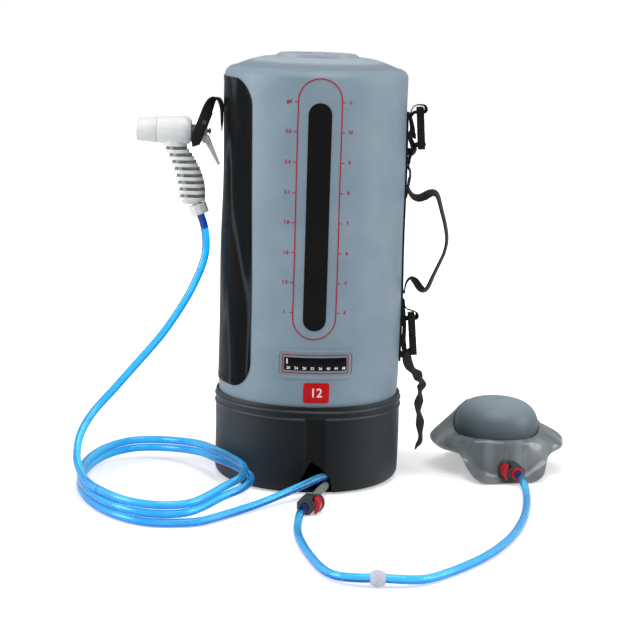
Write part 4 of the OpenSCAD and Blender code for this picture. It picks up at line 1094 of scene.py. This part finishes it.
tail_points = [(18.6, 144.2), (15.1, 143.7), (11, 143), (8.8, 137), (10.4, 127), (17, 118), (24, 110.5),
               (26.4, 102.5), (24.4, 91), (24, 74), (26.5, 57), (27, 40), (22.5, 30)]
tail_line = smooth_path(off_wall(tail_points), 6)
tail_turns = [0, 0, 8, 16, 24, 38, 34, 14, 40, 12, 42, 12, 40, 14, 36, 14, 26, 8]
strap_tail = webbing("strap_tail_tape", tail_line, strap_width, 1.4, twisted(tail_line, tail_turns))
fit_out(strap_tail, webbing_nylon, "buckle_plug", "webbing", "strap_tail")
print("handle and tail faces:", len(carry_handle.data.polygons), len(strap_tail.data.polygons))

# %% Buckle loops
tapes = [
    ("upper_keeper_tape", 20, [(1.2, 404), (3.2, 397), (5, 389), (5.8, 383), (7.6, 379.4), (9.6, 378.8)]),
    ("handle_stub_tape", 10, [(1.3, 345), (4.2, 342), (4.9, 335), (3.6, 326), (2.4, 317), (1.5, 311)]),
    ("upper_fold_tape", 24, [(1.6, 384), (3.6, 376), (6.6, 369), (7.8, 364), (6, 360), (3, 360.5),
                             (1.6, 366)]),
    ("lower_keeper_tape", 18, [(1.2, 198), (2.8, 190), (4.2, 178), (4.8, 166), (4.4, 152), (5.6, 143),
                               (6.6, 138), (5, 133.5), (2.6, 135), (1.4, 141)]),
    ("upper_loop_tape", 6, [(2.9, 394), (3.4, 400), (6, 404.2), (9.5, 405.3), (17.8, 405.8), (19.6, 408.8),
                            (17.8, 412.4), (12.5, 413.2), (7.5, 412.2), (4.2, 408.4), (3.1, 403.6)]),
    ("upper_stub_tape", 10, [(2.9, 345), (3.4, 355), (6.5, 364), (10.5, 369.8), (15.7, 370.5),
                             (20.6, 371)]),
    ("lower_loop_tape", 8, [(2.9, 168), (3.6, 174.5), (7, 177.8), (16.4, 178.6), (18.4, 181), (17, 184.8),
                            (11.5, 186.8), (6.5, 188.2), (3.4, 193), (2.9, 199)]),
]
loops = []
for name, turn, points in tapes:
    line = smooth_path(off_wall(points), 4)
    ways = twisted(line, [turn * 0.4, turn, turn * 0.6])
    loops.append(webbing(name, line, strap_width, 1.2, ways))
buckle_loops = join(loops, "buckle_loop_tape")
fit_out(buckle_loops, webbing_nylon, "shower", "webbing", "buckle_webbing")
print("loop faces:", len(buckle_loops.data.polygons))

# %% Side tape on the wall
side_tape = flat_patch("side_tape", strap_width, 275, 1)
weld_on(side_tape, (4, 12), 2.0, 0.3, 90, 267.5, 0.2)
fit_out(side_tape, webbing_nylon, "shower", "webbing", "side_webbing")
print("side tape faces:", len(side_tape.data.polygons))

# %% [markdown]
# ### The holster strap
# A narrow strap is sewn to the wall with a folded hem, bends over in an arch, twists, goes round the neck
# behind the gun's barrel and comes back up. Its edge is drawn along the route, and its direction is set at
# every point. Under the neck it is pulled narrow.

# %% Holster strap
holster_points = [(0, 0, 381), (0, 0, 398), (-0.6, 0, 409), (-3.3, 0, 415.5), (-7.8, -0.5, 417.5),
                  (-11.8, -2.5, 413.5), (-15.3, -6, 404.5), (-19.3, -9.5, 393), (-23.3, -11.8, 382),
                  (-26.3, -10.6, 373), (-27.4, -6.4, 367), (-27.6, 0, 364.8), (-27.4, 6.4, 367),
                  (-26.3, 10.6, 373), (-23.3, 11.8, 382), (-19.3, 9.9, 393), (-15.8, 7.5, 402)]
leg_way = (0.92, 0, -0.38)
holster_widths = [(0, 1, 0), (0.12, 0.98, 0), (0.26, 0.95, 0), (0.34, 0.93, -0.05)]
holster_widths += [(0.4, 0.9, -0.1), (0.62, 0.74, -0.25), (0.85, 0.35, -0.37)]
holster_widths += [leg_way] * 2 + [(0.9, 0, -0.2), (0.72, 0, 0.1), (0.64, 0, 0.22), (0.72, 0, 0.1)]
holster_widths += [(0.9, 0, -0.2)] + [leg_way] * 3
sewn_x = -tank_r - 2.2
holster_line = smooth_path([Vector(p) + Vector((sewn_x, 0, -3)) for p in holster_points], 4)
holster_ways = smooth_path([Vector(w) for w in holster_widths], 4)
holster_strap = webbing("holster_strap_tape", holster_line, 12, 1.4, holster_ways)
hem_line = [Vector((sewn_x + 0.2, 0, 379 + 5 * i)) for i in range(6)]
holster_hem = webbing("holster_hem_tape", hem_line, 12.4, 2.6)
join([holster_strap, holster_hem], "holster_strap_tape")
fit_out(holster_strap, webbing_nylon, "shower", "webbing", "holster_strap")
print("holster strap faces:", len(holster_strap.data.polygons))

# %% [markdown]
# ## Moulded pieces
# The gun, couplings and buckles are injection moulded, so every edge has a small radius that catches light.
# The solid model has their exact shape with sharp edges. A copy of each is merged, its flat faces are joined
# again, and a bevel rounds the edges. The copy stands for the node.

# %% Round a moulded piece
def moulded(node, width, finish, slot, angle=38, segments=2):
    """A copy of a node with rounded edges that replaces it."""
    start_piece()
    source = nodes[node]
    source.select_set(True)
    bpy.context.view_layer.objects.active = source
    bpy.ops.object.duplicate()
    piece = bpy.context.object
    piece.name = node + "_moulded"
    piece.data.name = node + "_moulded"
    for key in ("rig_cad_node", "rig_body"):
        if key in piece:
            del piece[key]
    piece.parent = None
    hold(piece)
    bpy.ops.object.mode_set(mode="EDIT")
    bpy.ops.mesh.select_all(action="SELECT")
    bpy.ops.mesh.remove_doubles(threshold=0.000002)
    bpy.ops.mesh.dissolve_limited(angle_limit=math.radians(0.8))
    bpy.ops.object.mode_set(mode="OBJECT")
    add_round(piece, width, angle, segments)
    apply_modifiers(piece)
    smooth(piece, 40)
    return fit_out(piece, finish, source["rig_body"], slot, node)


def moulded_plastic(name, colours, roughness, grain_mm, grain, specular=0.5):
    """Moulded plastic: an even colour with a fine spark-eroded grain."""
    material, tree, shader = new_finish(name, {"IOR": 1.5, "Specular IOR Level": specular})
    place = add_node(tree, "ShaderNodeTexCoord")
    patchy(tree, shader, place.outputs["Object"], 9, 3.0, colours, (roughness - 0.05, roughness + 0.07))
    pits = add_node(tree, "ShaderNodeTexNoise", {}, {"Scale": 1 / (grain_mm * mm), "Detail": 2.0},
                    {"Vector": place.outputs["Object"]})
    bump = add_node(tree, "ShaderNodeBump", {}, {"Strength": grain, "Distance": 0.1 * mm},
                    {"Height": pits.outputs["Fac"]})
    tree.links.new(bump.outputs["Normal"], shader.inputs["Normal"])
    return material


gun_white = moulded_plastic("abs_white", ("#E2E3E3", "#EAEBEB"), 0.36, 0.8, 0.15)
lever_grey = moulded_plastic("abs_pale_grey", ("#B4B7BB", "#BEC1C5"), 0.35, 0.8, 0.15)
# The grooves' grey is the soft grip's grey darkened by painted shade in the recess.
groove_grey_and_shade = moulded_plastic("grey_soft_grip_and_painted_shade", ("#6C6E70", "#7A7C7E"), 0.55, 0.8, 0.25)
# Painted highlight: a paler grey for the groove faces that look forwards.
groove_glint_finish = moulded_plastic("painted_groove_highlight", ("#A6A8AA", "#B2B4B6"), 0.45, 0.8, 0.2)
gland_grey = moulded_plastic("abs_dark_grey", ("#3A3D40", "#434649"), 0.42, 0.8, 0.25)
buckle_black = moulded_plastic("acetal_black", ("#0C0D0E", "#131415"), 0.42, 0.9, 0.3, 0.2)
coupling_grey = moulded_plastic("nylon_dark_grey", ("#33373A", "#3E4245"), 0.42, 0.9, 0.25)
button_red = moulded_plastic("abs_red", ("#B8141C", "#C81A22"), 0.32, 0.9, 0.15)
fitting_grey = moulded_plastic("polypropylene_grey", ("#8F9597", "#9BA0A2"), 0.42, 0.9, 0.2)
neck_grey = moulded_plastic("polyethylene_blue_grey", ("#98A2AE", "#A3ACB6"), 0.38, 1.0, 0.2)
print("moulded finishes ready")

# %% Spray gun
grip_top = gun_origin.z - 17.2
groove_pitch = 7.4
grooves = 8


def in_groove(face):
    """Whether a face of the grip lies in one of its grooves."""
    rows = (grip_top - face.center.z / mm) / groove_pitch
    return 0 < rows < grooves and 0.06 < rows % 1 < 0.46


def in_groove_glint(face):
    """Whether a face in a groove looks forwards, where a painted highlight lies."""
    return in_groove(face) and -0.5 < face.normal.x < -0.02


smooth(moulded("hose_nut", 0.7, gun_white, "gun_white", angle=30), 10)
for node in ("gun_body_near", "gun_body_far"):
    half = moulded(node, 0.5, gun_white, "gun_white")
    # Painted shade: the grooves take a darker grey.
    second_finish(half, groove_grey_and_shade, in_groove)
    # Painted highlight on the forward faces of the grooves.
    second_finish(half, groove_glint_finish, in_groove_glint)
moulded("spray_nozzle", 0.4, gun_white, "gun_white")
moulded("trigger", 0.7, lever_grey, "lever")
moulded("rose_plate", 0.2, lever_grey, "lever", angle=60)
gland = moulded("rear_gland", 0.8, gland_grey, "gland")
second_finish(gland, lever_grey, lambda face: face.center.x > (gun_origin.x + 12.8) * mm)
print("gun faces:", len(half.data.polygons), "in a half")

# %% Buckles and couplings
for node in ("upper_buckle_socket", "upper_buckle_plug", "lower_buckle_socket", "lower_buckle_plug"):
    moulded(node, 1.6, buckle_black, "buckle", segments=3)
for node in ("tank_coupling_body", "pump_coupling_body"):
    moulded(node, 0.7, coupling_grey, "coupling")
for node in ("tank_coupling_button", "pump_coupling_button"):
    moulded(node, 1.4, button_red, "button", segments=3)
collets = moulded("coupling_collets", 0.4, button_red, "button")
second_finish(collets, coupling_grey, lambda face: face.center.x < 0.1)
moulded("fill_cap", 0.8, neck_grey, "neck")
moulded("fill_neck", 0.5, neck_grey, "neck")
print("buckles and couplings ready")

# %% [markdown]
# ## Clear pieces, metal and rubber
# The check valve and the inlet pipe are clear plastic. Pins and springs are steel, and the seals are black
# rubber. These nodes keep their solid shape and only take a finish. The check valve alone is reshaped: its
# hexagon slopes from the middle to both ends.

# %% Clear, steel and rubber finishes
def clear_moulding(name, colour, transmission):
    """Clear plastic with a slight haze."""
    material, tree, shader = new_finish(name, {
        "IOR": 1.58, "Transmission Weight": transmission, "Base Color": linear(colour)})
    place = add_node(tree, "ShaderNodeTexCoord")
    patchy(tree, shader, place.outputs["Object"], 6, 2.0, None, (0.15, 0.4))
    return material


frosted = clear_moulding("polycarbonate_frosted", "#E6E9F6", 0.25)
smoky = clear_moulding("polycarbonate_smoky", "#A9B0AA", 0.5)

steel, tree, shader = new_finish("stainless_steel_drawn", {"Metallic": 1.0})
place = add_node(tree, "ShaderNodeTexCoord")
patchy(tree, shader, place.outputs["Object"], 3, 2.0, ("#A9ABAD", "#BFC1C3"), (0.22, 0.4))
rubber = moulded_plastic("nitrile_rubber_black", ("#101011", "#1A1A1B"), 0.6, 0.8, 0.3)


def dress(finish, *names):
    """Give CAD nodes a finish and leave their shape alone."""
    for name in names:
        nodes[name].data.materials.clear()
        nodes[name].data.materials.append(finish)


dress(smoky, "inlet_spigot")
dress(steel, "trigger_pin", "valve_spring", "coupling_springs")
dress(gland_grey, "holster_stud", "valve_stem")
dress(rubber, "cap_gasket", "valve_washer", "check_valve_disc", "intake_flap")
dress(fitting_grey, "water_outlet", "air_inlet", "bulkhead_nuts", "inner_tube", "hose_tail", "pump_outlet")
dress(skirt_cloth, "tank_floor", "base_plate")
print("clear, steel and rubber ready")

# %% Check valve
check_valve = moulded("check_valve_body", 0.3, frosted, "valve")
valve_middle = (valve_left + valve_right) / 2 * mm
valve_half = 7
pipe_r = 5.4
hold(check_valve)
bpy.ops.object.mode_set(mode="EDIT")
bpy.ops.mesh.select_all(action="SELECT")
bpy.ops.mesh.bisect(plane_co=valve_middle, plane_no=(1, 0, 0))
bpy.ops.object.mode_set(mode="OBJECT")
for point in check_valve.data.vertices:
    past = abs(point.co.x - valve_middle.x) / (valve_half * mm)
    r = math.hypot(point.co.y - valve_middle.y, point.co.z - valve_middle.z) / mm
    if r > pipe_r:
        taper = 1.1 - 0.34 * past
        point.co.y = valve_middle.y + (point.co.y - valve_middle.y) * taper
        point.co.z = valve_middle.z + (point.co.z - valve_middle.z) * taper
print("check valve faces:", len(check_valve.data.polygons))

# %% [markdown]
# ## The foot pump's dome
# The dome is a moulded skin of soft slate grey rubber that the foot presses down and that springs back. Its
# shape is a flattened half ball, fuller than a true one. It is turned from a smooth profile and moved to the
# pump's place. Its colour follows the height as painted light: paler on top and darker at the foot, as light
# from above falls.

# %% Dome
dome_r = 49
dome_foot = 40
dome_rise = 41
across_power = 0.68
up_power = 0.7
dome_top = dome_foot + dome_rise
dome_skin = coated_cloth("tpu_skin_slate", None, 0.42, 2.0, 0.03)
# Painted light and shade: dark at the foot, pale on top.
paint_light_by_height(dome_skin, dome_foot + 2, dome_top, "#394147", "#606D75", "#8C9BA4")
profile = [(47.2, 40.2), (50.4, 40.2), (50.8, 40.8), (50.4, 41.8), (49.2, 42.2)]
for i in range(2, 25):
    angle = math.radians(90 * i / 25)
    profile.append((dome_r * math.cos(angle) ** across_power,
                    dome_foot + dome_rise * math.sin(angle) ** up_power))
profile += [(2.6, dome_top), (2.1, dome_top - 0.4), (2.1, dome_top - 2.1)]
dome = turned("pump_dome_skin", profile, 120, 50)
map_in_metres(dome, 40)
add_wall(dome, 1.8)
apply_modifiers(dome)
dome.location = pump_place * mm
smooth(dome, 50)
fit_out(dome, dome_skin, "dome", "dome", "pump_dome")
print("dome faces:", len(dome.data.polygons))

# %% [markdown]
# ## The pump's film
# A clear grey film is welded round the dome's rim. In front and behind it falls to the floor as a flap, along
# the line of the pipe. At each side it climbs the dome like a tent and stands out as a wing with a rolled
# edge. Three cross sections are drawn, for flap, wing and the valley between, and each angle takes
# its own mix of the three. The map runs down the film, so the drawn streaks follow its fall.

# %% Film finish
pump_film, tree, shader = new_finish("pvc_film_clear_grey", {
    "IOR": 1.5, "Alpha": 0.78, "Coat Weight": 0.5, "Coat Roughness": 0.12})
place = add_node(tree, "ShaderNodeTexCoord")
pulled = add_node(tree, "ShaderNodeMapping", {}, {"Scale": (1, 0.16, 1)}, {"Vector": place.outputs["UV"]})
streaks = patchy(tree, shader, pulled.outputs["Vector"], 16, 2.0, ("#6A7275", "#8C9497"), (0.14, 0.3))
bump = add_node(tree, "ShaderNodeBump", {}, {"Strength": 0.3, "Distance": 1.2 * mm},
                {"Height": streaks.outputs["Fac"]})
tree.links.new(bump.outputs["Normal"], shader.inputs["Normal"])
print("pump film ready")

# %% Film sections
weld_r = 49.4
weld_z = 43.4
weld = (weld_r, weld_z)
flap_line = [weld, (52.5, 42.6), (55, 39.8), (56.8, 31), (58, 17), (60, 6.5), (64.5, 2), (77, 1.4)]
wing_line = [weld, (53, 43.2), (58.5, 43), (66, 41.6), (72.5, 38.8), (76.5, 34.6), (76, 30), (71, 26)]
dip_line = [weld, (52.6, 43), (56.4, 41), (60, 37.6), (62.6, 34), (64, 30), (63.4, 27), (62, 26)]
tent_lift = [1, 0.75, 0.45, 0.17, 0.03, 0, 0, 0]
flap_turn = 13
span_steps = 4
rings = span_steps * (len(flap_line) - 1)


def dome_radius(z):
    """The dome's radius at a height, in millimetres."""
    rise = clamp((z - dome_foot) / dome_rise) ** (1 / up_power)
    return dome_r * (1 - rise * rise) ** (across_power / 2)


def film_shares(turn):
    """How much of a flap and of a wing the film is at an angle, and how far off the flap's middle that is."""
    side = (math.degrees(turn) - flap_turn + 90) % 180 - 90
    off = abs(side)
    start = 22 if side < 0 else 13
    flap = 1 - ease((off - start) / 38)
    wing = abs(math.sin(turn)) ** 4 * (1 - flap)
    return flap, wing, off


def film_tent(turn):
    """How far the film climbs the dome at an angle, in millimetres: higher at the left than at the right."""
    degrees = math.degrees(turn) % 360
    return 33 * math.exp(-((degrees - 252) / 23) ** 2) + 12 * math.exp(-((degrees - 97) / 24) ** 2)


def film_section(turn):
    """The film's cross section at an angle, as points of radius and height in millimetres."""
    flap, wing, off = film_shares(turn)
    dip = 1 - flap - wing
    tent = film_tent(turn)
    reach = 0.88 if math.sin(turn) < 0 else 1.06
    line = []
    for (r0, z0), (r1, z1), (r2, z2), lift in zip(flap_line, wing_line, dip_line, tent_lift):
        square = 1 / math.cos(math.radians(min(off, 26))) if r0 > 60 else 1
        r1 = weld_r + (r1 - weld_r) * reach
        z = z0 * flap + z1 * wing + z2 * dip + lift * tent
        drawn_in = (weld_r - dome_radius(weld_z + tent)) * lift ** 1.6
        r = max(r0 * square * flap + r1 * wing + r2 * dip - drawn_in, dome_radius(z) + 1.2)
        line.append(Vector((r, z, 0)))
    return smooth_path(line, span_steps)


def film_line(turn):
    """The film's points from weld to edge at an angle, with small pleats that die out at the weld."""
    flap = film_shares(turn)[0]
    line = []
    for ring, spot in enumerate(film_section(turn)):
        share = clamp((ring - 4) / (rings - 4))
        pleat = 1.5 * math.sin(11 * turn + 0.8) * math.sin(math.pi * share) * (1 - 0.7 * flap)
        r = spot.x + pleat
        z = max(1.2, spot.y + 0.5 * pleat)
        line.append((pump_place + Vector((r * math.sin(turn), -r * math.cos(turn), z))) * mm)
    return line


print("film rings:", rings)

# %% Film skirt of the pump
sides = 144
start_piece()
bpy.ops.mesh.primitive_circle_add(vertices=sides, radius=0.04, fill_type="NOTHING")
film = bpy.context.object
film.name = "pump_film_skirt"
film.data.name = "pump_film_skirt"
bpy.ops.object.mode_set(mode="EDIT")
for i in range(rings):
    bpy.ops.mesh.select_all(action="DESELECT")
    shape = bmesh.from_edit_mesh(film.data)
    for edge in shape.edges:
        edge.select_set(all(v.index >= i * sides for v in edge.verts))
    bmesh.update_edit_mesh(film.data)
    bpy.ops.mesh.extrude_edges_move(TRANSFORM_OT_translate={"value": (0, 0, -0.002)})
    shape = bmesh.from_edit_mesh(film.data)
    shape.verts.index_update()
bpy.ops.object.mode_set(mode="OBJECT")
film_lines = [film_line(2 * math.pi * i / sides) for i in range(sides)]
for point in film.data.vertices:
    point.co = film_lines[point.index % sides][point.index // sides]
even_normals(film)
face_outwards(film, pump_place * mm)

# %% Film map and thickness
fall = own_map(film)
for face in film.data.polygons:
    steps = [film.data.loops[corner].vertex_index % sides for corner in face.loop_indices]
    seam = max(steps) - min(steps) > 1
    for corner, step in zip(face.loop_indices, steps):
        ring = film.data.loops[corner].vertex_index // sides
        around = step + sides if seam and step == 0 else step
        fall.data[corner].uv = (around * 2.6 * mm, ring * 2.5 * mm)
add_wall(film, 0.7)
apply_modifiers(film)
smooth(film, 70)
fit_out(film, pump_film, "shower", "pump_film", "pump_skirt")
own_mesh(film)
print("film faces with thickness:", len(film.data.polygons))

# %% [markdown]
# ## Foam and base sheet
# Under the dome a block of open foam pushes it back up after each step. It is a turned block with rounded
# edges. The base sheet is the same clear film as the skirt.

# %% Foam and base sheet
foam_grey = coated_cloth("polyurethane_foam_grey", ("#8A8C8E", "#A3A5A6"), 0.85, 2.4, 0.4)
profile = [(0.01, 1.7), (19, 1.7), (20.6, 3), (30, 16), (37, 25), (41.4, 33), (41.4, 54), (40, 57),
           (30, 66), (27, 67), (0.01, 67)]
foam = turned("pump_foam_block", profile, 96, 30)
map_in_metres(foam, 40)
foam.location = pump_place * mm
smooth(foam, 50)
fit_out(foam, foam_grey, "shower", "foam", "pump_foam")
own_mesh(foam)
dress(pump_film, "pump_base")
print("foam faces:", len(foam.data.polygons))

# %% [markdown]
# ## Floor and light
# The floor is plain and pale, and the light is soft: a broad lamp above, one at each side and an even sky.
# The side lamps brighten the tank's flanks and leave its front darker. The floor and the sky look white to
# the camera and through clear plastic, while the light that falls on the object stays at a plain level.

# %% Floor
start_piece()
bpy.ops.mesh.primitive_plane_add(size=12, location=(0, 0, -0.0006))
floor = bpy.context.object
floor.name = "studio_floor"


def seen_share(tree):
    """1 for light that the camera sees, straight or through clear plastic, and 0 for the rest."""
    ray = add_node(tree, "ShaderNodeLightPath")
    seen = add_node(tree, "ShaderNodeMath", {"operation": "MAXIMUM"}, {},
                    {0: ray.outputs["Is Camera Ray"], 1: ray.outputs["Is Transmission Ray"]})
    return seen.outputs["Value"]


floor_paint, tree, shader = new_finish("studio_floor_white", {
    "Roughness": 0.9, "Specular IOR Level": 0.1, "Base Color": linear("#F4F5F5"),
    "Emission Color": (1, 1, 1, 1)})
place = add_node(tree, "ShaderNodeTexCoord")
away = add_node(tree, "ShaderNodeVectorMath", {"operation": "LENGTH"}, {}, {0: place.outputs["Object"]})
fade = add_node(tree, "ShaderNodeMapRange", {"interpolation_type": "SMOOTHSTEP"},
                {"From Min": 0.45, "From Max": 1.1, "To Min": 0.4, "To Max": 1.0},
                {"Value": away.outputs["Value"]})
glow = add_node(tree, "ShaderNodeMath", {"operation": "MULTIPLY"}, {},
                {0: seen_share(tree), 1: fade.outputs["Result"]})
tree.links.new(glow.outputs["Value"], shader.inputs["Emission Strength"])
floor.data.materials.append(floor_paint)
print("floor ready")

# %% Sky and lamps
world = bpy.data.worlds.new("studio_sky")
scene.world = world
world.use_nodes = True
tree = world.node_tree
sky = tree.nodes["Background"]
strength = add_node(tree, "ShaderNodeMapRange", {}, {"To Min": 0.42, "To Max": 1.0},
                    {"Value": seen_share(tree)})
tree.links.new(strength.outputs["Result"], sky.inputs["Strength"])
sky.inputs["Color"].default_value = (1, 1, 1, 1)


def lamp(name, place, target, size, watts):
    """A broad soft lamp aimed at a point."""
    start_piece()
    bpy.ops.object.light_add(type="AREA", location=place)
    light = bpy.context.object
    light.name = name
    light.data.shape = "DISK"
    light.data.size = size
    light.data.energy = watts
    light.rotation_euler = (Vector(target) - Vector(place)).to_track_quat("-Z", "Y").to_euler()


lamp("lamp_above", (0.1, -0.5, 1.9), (0, 0, 0.2), 1.4, 18)
lamp("lamp_left", (-1.9, -0.35, 0.8), (0, 0, 0.25), 1.2, 20)
lamp("lamp_right", (1.9, -0.35, 0.8), (0, 0, 0.25), 1.2, 14)
print("lamps ready")
